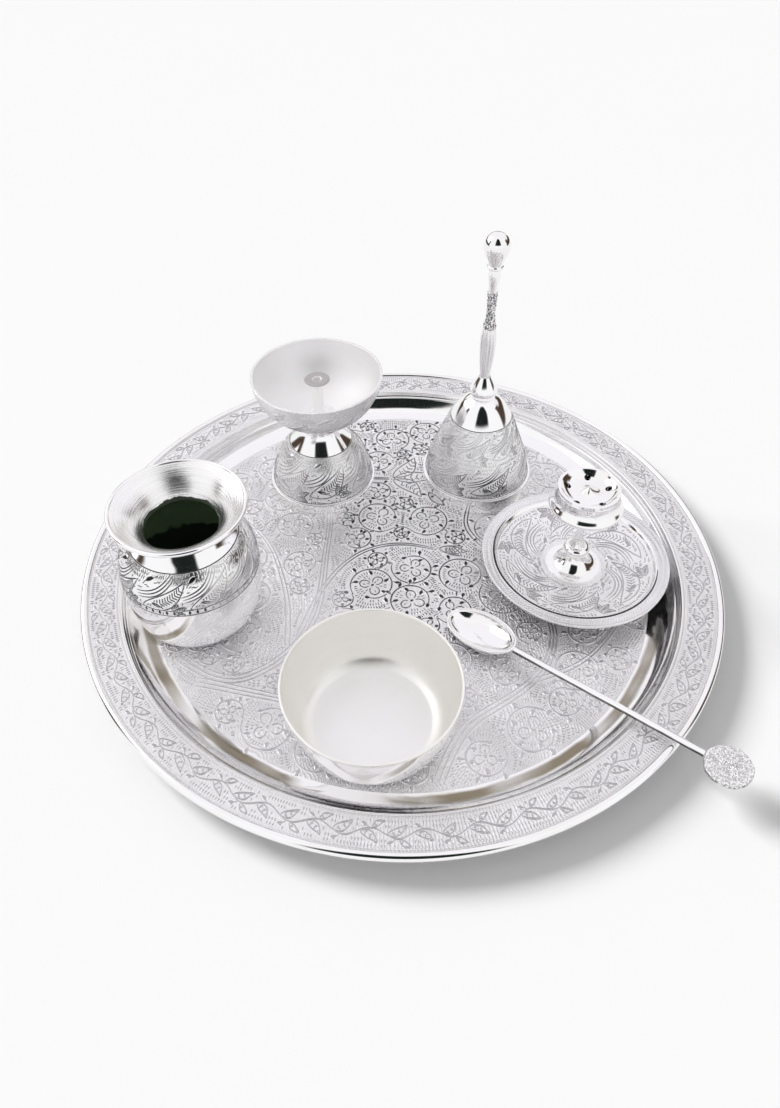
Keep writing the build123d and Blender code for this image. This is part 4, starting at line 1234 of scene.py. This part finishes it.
STEM_SEAT_H = 1.4
HEAD_FOOT_R = 3.4
HEAD_WALL = 1.1
HEAD_SHARES = ((0.648, 0.074), (0.908, 0.24), (1, 0.413), (0.923, 0.57), (0.863, 0.719), (0.845, 0.868),
               (0.838, 1))
FLANGE_BAND = (32.3, 36.9)
STEP_SHADOW_ARC = (140, 345)
DISH_FIELD = (12.2, 30.9)
DISH_MIDDLE_R = 22.5
DISH_CUT = (0.42, 0.41, 0.43, 1.0)

dish_axis, dish_base, DISH_R, DISH_H = turned_box("incense_saucer")
flange_z = DISH_H - FLANGE_RISE
well_rise = flange_z - WELL_STEP - DISH_WALL
well_wall = smooth_line([(STEM_BASE_R, 0), *shared(WELL_SHARES, WELL_EDGE_R, well_rise)], 40)
well_top = well_wall[::-1] + [0, DISH_WALL]
dish_outline = joined(
    (STUD_R, 0), well_wall, (FLANGE_R + DISH_WALL / 2, flange_z - DISH_WALL), (DISH_R, DISH_H - DISH_WALL),
    (DISH_R, DISH_H), (FLANGE_R, flange_z), well_top, (STUD_R, DISH_WALL), (STUD_R, 0))
turned_piece("incense_dish", ("incense_saucer", "engraved_silver", "incense_stand"), dish_outline,
             (wall_silver, worked_silver), dish_axis, dish_base, (0, 0, 0, 0, 0, 1, 0, 1, 0, 0))

dish_field = well_top[(well_top[:, 0] > DISH_FIELD[0]) & (well_top[:, 0] < DISH_FIELD[1])]
lay_dish, dish_wide = on_turned(dish_field, dish_axis, dish_base, DISH_MIDDLE_R)
dish_leaves = feather_band(2 * np.pi * DISH_MIDDLE_R, dish_wide, 1, 6, 51)
dish_cut = cut_silver("graver's cuts of the dish", DISH_CUT)
cut_piece("incense_dish_vine", dish_leaves, lay_dish, dish_cut, "incense_stand")

flange_heights = np.interp(FLANGE_BAND, (FLANGE_R, DISH_R), (flange_z, DISH_H))
lay_flange, flange_wide = on_turned(
    straight((FLANGE_BAND[1], flange_heights[1]), (FLANGE_BAND[0], flange_heights[0]), 6), dish_axis,
    dish_base, DISH_R)
flange_long = 2 * np.pi * DISH_R
flange_starts, flange_ways = band_ticks(flange_long, (0.1, 2.1), 1.2, np.radians(32))
flange_lines = flange_starts[:, None] + flange_ways[:, None] * np.linspace(0, 2.1, 4)[:, None]
# A dark arc on the flange's near side, by the step down to the well: a painted shadow.
shadow_across = np.radians(np.linspace(*STEP_SHADOW_ARC, 121)) * DISH_R
step_shadow = np.stack([shadow_across, np.full(121, flange_wide - 0.5)], -1)[None]
cut_piece("incense_flange_strokes",
          [stroke(flange_lines, 0.7, 0.4), *ring_lines(flange_long, (0.1, flange_wide - 0.9), 0.5)],
          lay_flange, bowl_cut, "incense_stand")
cut_piece("incense_step_shadow", [stroke(step_shadow, 1.5, 0.15)], lay_flange, line_tarnish_and_shadow, "incense_stand")

stem_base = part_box("incense_stem")[0].z / MM + STUD_DROP
stem_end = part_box("incense_stem")[1].z / MM - stem_base
trumpet = smooth_line([(STEM_BASE_R, STEM_BASE_EDGE), *shared(TRUMPET_SHARES, STEM_BASE_R, TRUMPET_H)], 40)
knob_waist = trumpet[-1, 0]
knob = arc((0, 1), 1.0, -90, 90, 32) * [KNOB_R - knob_waist, KNOB_H / 2] + [knob_waist, TRUMPET_H]
neck_low, neck_high = TRUMPET_H + KNOB_H, STEM_H - STEM_SEAT_H
neck = smooth_line([knob[-1], *((STEM_NECK_R, neck_low + share * (neck_high - neck_low))
                                for share in STEM_NECK_SHARES), (STEM_SEAT_R, neck_high)], 60)
stem_outline = joined(
    (0, -STUD_DROP), (STUD_R, -STUD_DROP), (STUD_R, 0), (STEM_BASE_R, 0), trumpet, knob, neck,
    (STEM_SEAT_R, STEM_H), (STUD_R, STEM_H), (STUD_R, stem_end), (0, stem_end), ease=STEM_EASE)
turned_piece("incense_stem_turned", ("incense_stem", "polished_silver", "incense_stand"), stem_outline,
             (pot_silver,), dish_axis, stem_base, steps=128)

head_axis, head_base, HEAD_R, HEAD_H = turned_box("incense_head")
head_wall = smooth_line([(HEAD_FOOT_R, 0), *shared(HEAD_SHARES, HEAD_R, HEAD_H)], 80)
head_lining = between(lined(head_wall, HEAD_WALL), HEAD_WALL, HEAD_H)[::-1]
head_outline = joined((STUD_R, 0), head_wall, head_lining, (STUD_R, HEAD_WALL), (STUD_R, 0))
turned_piece("incense_head_spun", ("incense_head", "polished_silver", "incense_stand"), head_outline,
             (pot_silver,), head_axis, head_base)
refinish("incense_cap", pot_silver)
refinish("incense_foot", wall_silver)
refinish("incense_nut", brass)

# Small bowl. One piece of sheet spun to a straight-sided cup, satin inside from the lathe, with a wall
# that is left thick enough at the edge to be rounded over.
KATORI_FOOT_R = 21.0
KATORI_WALL = 1.1
KATORI_EASE = 0.5
KATORI_SHARES = ((0.8, 0.085), (0.89, 0.33), (0.955, 0.66), (1, 1))
KATORI_SHADED_BRIGHT = (0.94, 0.93, 0.905, 1.0)
KATORI_SHADED_DULL = (0.89, 0.875, 0.845, 1.0)

katori_axis, katori_base, KATORI_R, KATORI_H = turned_box("katori_bowl")
katori_wall = smooth_line([(KATORI_FOOT_R, 0), *shared(KATORI_SHARES, KATORI_R, KATORI_H)], 60)
katori_lining = between(lined(katori_wall, KATORI_WALL), KATORI_WALL, KATORI_H)[::-1]
katori_outline = joined(
    (0, 0), katori_wall, katori_lining, straight(katori_lining[-1], (0, KATORI_WALL), 12), ease=KATORI_EASE)
# The inside wall and the lip take a darker copy of the floor's satin: painted shade.
shaded_satin = spun_silver("satin silver of the small bowl", 0.4, KATORI_SHADED_BRIGHT, KATORI_SHADED_DULL)
turned_piece("katori_spun", ("katori_bowl", "satin_silver", "katori"), katori_outline,
             (wall_silver, satin, shaded_satin), katori_axis, katori_base, (0, 0, 2, 2, 1), 256)

# Spoon. A pressed egg-shaped bowl, a round stem and a cast disc with a stippled face, soldered in line.
# It leans from the tray's floor over the rim.
SPOON_HALF_LENGTH = 14.8
SPOON_HALF_WIDTH = 8.8
SPOON_DEPTH = 5.2
SPOON_WALL = 0.9
SPOON_EASE = 0.25
SPOON_STEM_R = 1.25
SPOON_REACH = 95.0
SPOON_DISC_H = 1.5
SPOON_DISC_R = 7.7
STEM_FLANK_REFLECTION = (0.12, 0.11, 0.11, 1.0)
DISC_GRAIN = (0.58, 0.57, 0.57, 1.0)

disc_middle = sum(np.array(corner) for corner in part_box("spoon_disc")) / 2 / MM
stem_middle = sum(np.array(corner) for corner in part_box("spoon_stem")) / 2 / MM
spoon_x = unit(disc_middle - stem_middle)
spoon_y = unit(np.cross([0, 0, 1], spoon_x))
spoon_axes = np.stack([spoon_x, spoon_y, np.cross(spoon_x, spoon_y)])
spoon_origin = disc_middle - np.array([SPOON_REACH, 0, -SPOON_STEM_R]) @ spoon_axes


def egg_bowl(points):
    """A round bowl drawn in to the spoon's width, then laid in the spoon's own frame."""
    return points * [1, SPOON_HALF_WIDTH / SPOON_HALF_LENGTH, 1] @ spoon_axes + spoon_origin


def stippled_disc(points):
    """The cast disc: its edge wanders by up to 1.6 in a hundred about 0.98 of its radius, and small pits
    cover both faces, as the product of two sets of waves that cross."""
    angle = np.arctan2(points[:, 1], points[:, 0])
    radius = np.linalg.norm(points[:, :2], axis=1)
    wander = 0.98 + 0.01 * np.sin(5 * angle) + 0.006 * np.sin(13 * angle + 1)
    across, up = points[:, 0], points[:, 1]
    pit = np.sin(across * 4.6 + 2 * np.sin(up * 2.3)) * np.sin(up * 4.8 + 2 * np.sin(across * 1.9))
    lift = 0.15 * pit * np.sign(points[:, 2]) * (radius < SPOON_DISC_R * 0.93)
    laid = np.stack([across * wander, up * wander, points[:, 2] + lift], -1)
    return (laid + [SPOON_REACH, 0, -SPOON_STEM_R]) @ spoon_axes + spoon_origin


spoon_bowl_outline = joined(
    arc((0, 0), 1.0, -90, 0, 48) * [SPOON_HALF_LENGTH, SPOON_DEPTH],
    arc((0, 0), 1.0, 0, -90, 48) * [SPOON_HALF_LENGTH - SPOON_WALL, SPOON_DEPTH - SPOON_WALL],
    ease=SPOON_EASE)
spoon_bowl_outline[0][[0, -1], 0] = 0
turned_piece("spoon_bowl_pressed", ("spoon_bowl", "polished_silver", "spoon"), spoon_bowl_outline,
             (pot_silver,), shape=egg_bowl)
disc_outline = joined(
    straight((0, -SPOON_DISC_H / 2), (SPOON_DISC_R, -SPOON_DISC_H / 2), 40),
    straight((SPOON_DISC_R, -SPOON_DISC_H / 2), (SPOON_DISC_R, SPOON_DISC_H / 2), 4),
    straight((SPOON_DISC_R, SPOON_DISC_H / 2), (0, SPOON_DISC_H / 2), 40))
disc_finish = stippled_silver("stippled silver of the disc", DISC_GRAIN)
# The disc's edge takes the handle's darker stippled finish: painted shade along its side.
turned_piece("spoon_disc_cast", ("spoon_disc", "cast_silver", "spoon"), disc_outline,
             (disc_finish, stipple_and_edge_shade_finish), run_finish=(0, 1, 0), shape=stippled_disc)


def flank_reflection_silver(name):
    """Polished rod painted dark along both flanks: a painted reflection of dark surroundings."""
    material, shader, place = new_finish(name)
    aside = (place.part("X") * float(spoon_y[0]) + place.part("Y") * float(spoon_y[1])
             - float(spoon_origin @ spoon_y) * MM)
    edge = aside.through("ABSOLUTE") + 0.3 * MM * (place.noise(8) - 0.5)
    flank_share = edge.clipped(0.78 * SPOON_STEM_R * MM, SPOON_STEM_R * MM)
    feed(shader, Base_Color=flank_share.blend(SILVER, STEM_FLANK_REFLECTION), Roughness=0.06 + 0.1 * place.noise(4))
    return material


# The stem's flanks are painted dark: a painted reflection.
refinish("spoon_stem", flank_reflection_silver("polished silver of the spoon's stem"))

# Stage: a white floor and a white room, lit by one soft lamp from behind on the left. Boards stand round
# the set where only the metal's first reflection sees them: dark ones, and bright ones for sky and lamp.
FLOOR_HALF = 4
FLOOR_DROP = 0.0002
ROOM_LIGHT = 0.5
LAMP_AZIMUTH, LAMP_RISE = 152, 38
LAMP_SPREAD = 24
LAMP_POWER = 2.6
BOARD_R = 1.2
LAMP_BOARD_R = 1.18
BOARD_EDGE = 0.12
BOARD_GRID = (25, 9)
BOARDS = {
    "front": (-90, 31, 20, 84, (0.012, 0.016, 0.015, 1)),
    "left": (156, 36, 0, 40, (0.07, 0.048, 0.033, 1)),
    "right": (24, 36, 0, 40, (0.07, 0.048, 0.033, 1)),
    "back": (95, 34, 5, 15, (0.20, 0.17, 0.12, 1)),
    "sky": (90, 85, 22, 80, (0.98, 0.965, 1.0, 1)),
    "lamp": (LAMP_AZIMUTH, 26, 14, 62, (1.8, 1.77, 1.8, 1))}

ground_mesh = bpy.data.meshes.new("floor")
ground_mesh.from_pydata([(-FLOOR_HALF, -FLOOR_HALF, 0), (FLOOR_HALF, -FLOOR_HALF, 0),
                         (FLOOR_HALF, FLOOR_HALF, 0), (-FLOOR_HALF, FLOOR_HALF, 0)], [], [(0, 1, 2, 3)])
floor = bpy.data.objects.new("floor", ground_mesh)
floor.location.z = -FLOOR_DROP
bpy.context.scene.collection.objects.link(floor)
floor_finish, floor_shader, floor_place = new_finish("white floor")
floor_shader.inputs["Metallic"].default_value = 0.0
floor_shader.inputs["Roughness"].default_value = 0.9
floor_shader.inputs["Specular IOR Level"].default_value = 0.1
feed(floor_shader, Base_Color=floor_place.noise(300).blend((0.945, 0.945, 0.945, 1), (0.96, 0.96, 0.96, 1)))
ground_mesh.materials.append(floor_finish)

world = bpy.data.worlds.new("white room")
bpy.context.scene.world = world
world.use_nodes = True
room = world.node_tree.nodes["Background"]
path = world.node_tree.nodes.new("ShaderNodeLightPath")
seen = Wire(path.outputs["Is Camera Ray"]) + Wire(path.outputs["Is Glossy Ray"])
seen = seen + Wire(path.outputs["Is Transmission Ray"])
seen = seen.math("MINIMUM", seen, 1.0)
room.inputs["Color"].default_value = (1, 1, 1, 1)
world.node_tree.links.new((ROOM_LIGHT + (1 - ROOM_LIGHT) * seen).socket, room.inputs["Strength"])

lamp_data = bpy.data.lights.new("soft lamp", "SUN")
lamp_data.angle = np.radians(LAMP_SPREAD)
lamp_data.energy = LAMP_POWER
key = bpy.data.objects.new("soft lamp", lamp_data)
key.rotation_euler = (np.radians(90 - LAMP_RISE), 0, np.radians(LAMP_AZIMUTH + 90))
key.visible_glossy = False
bpy.context.scene.collection.objects.link(key)

number = np.arange(np.prod(BOARD_GRID)).reshape(BOARD_GRID)
quad = np.stack([number[:-1, :-1], number[:-1, 1:], number[1:, 1:], number[1:, :-1]], -1).reshape(-1, 4)
spot = np.stack(np.meshgrid(*(np.linspace(0, 1, count) for count in BOARD_GRID), indexing="ij"), -1)
for name, (azimuth, half, low, high, colour) in BOARDS.items():
    turn = np.radians(azimuth - half + 2 * half * spot[..., 0])
    rise = np.radians(low + (high - low) * spot[..., 1])
    shell = np.stack([np.cos(rise) * np.cos(turn), np.cos(rise) * np.sin(turn), np.sin(rise)], -1)
    board_finish = bpy.data.materials.new(name + " board")
    board_finish.use_nodes = True
    tree = board_finish.node_tree
    tree.nodes.remove(tree.nodes["Principled BSDF"])
    spread = Wire(tree.nodes.new("ShaderNodeUVMap").outputs["UV"])
    across, up = spread.part("X"), spread.part("Y")
    inside = across.clipped(0, BOARD_EDGE) * (1 - across).clipped(0, BOARD_EDGE)
    inside = inside * up.clipped(0, BOARD_EDGE) * (1 - up).clipped(0, BOARD_EDGE)
    bounces = Wire(tree.nodes.new("ShaderNodeLightPath").outputs["Ray Depth"])
    inside = inside * bounces.math("LESS_THAN", bounces, 1.5)
    glow = inside.node("Emission", {}, {"Color": colour, "Strength": 1.0})
    clear = inside.node("BsdfTransparent", {}, {})
    tree.links.new(inside.node("MixShader", {}, {0: inside, 1: clear, 2: glow}).socket,
                   tree.nodes["Material Output"].inputs["Surface"])
    radius = (LAMP_BOARD_R if name == "lamp" else BOARD_R) / MM
    board = add_piece("board_" + name, radius * shell.reshape(-1, 3), [quad],
                      spot.reshape(-1, 2)[quad.ravel()], (board_finish,))
    board.visible_camera = False
    board.visible_diffuse = False
    board.visible_shadow = False

# Camera: the photograph's view, looking down at the set from the near side.
VIEW_W, VIEW_H = 780, 1108
FOCAL = 828.7
MIDDLE = (375.3, 495.7)
PITCH, ROLL = 42.77, -0.79
CAMERA_PLACE = (-0.0096, -0.2337, 0.2574)
camera_data = bpy.data.cameras.new("camera")
camera_data.sensor_fit = "AUTO"
camera_data.sensor_width = 36.0
camera_data.lens = FOCAL / VIEW_H * camera_data.sensor_width
camera_data.shift_x = (VIEW_W / 2 - MIDDLE[0]) / VIEW_H
camera_data.shift_y = (MIDDLE[1] - VIEW_H / 2) / VIEW_H
camera_data.clip_start = 0.01
camera = bpy.data.objects.new("camera", camera_data)
camera.location = CAMERA_PLACE
camera.rotation_mode = "XYZ"
camera.rotation_euler = (np.radians(90 - PITCH), 0, 0)
camera.rotation_euler.rotate_axis("Z", np.radians(ROLL))
bpy.context.scene.collection.objects.link(camera)
bpy.context.scene.camera = camera
bpy.context.scene.view_settings.view_transform = "Standard"
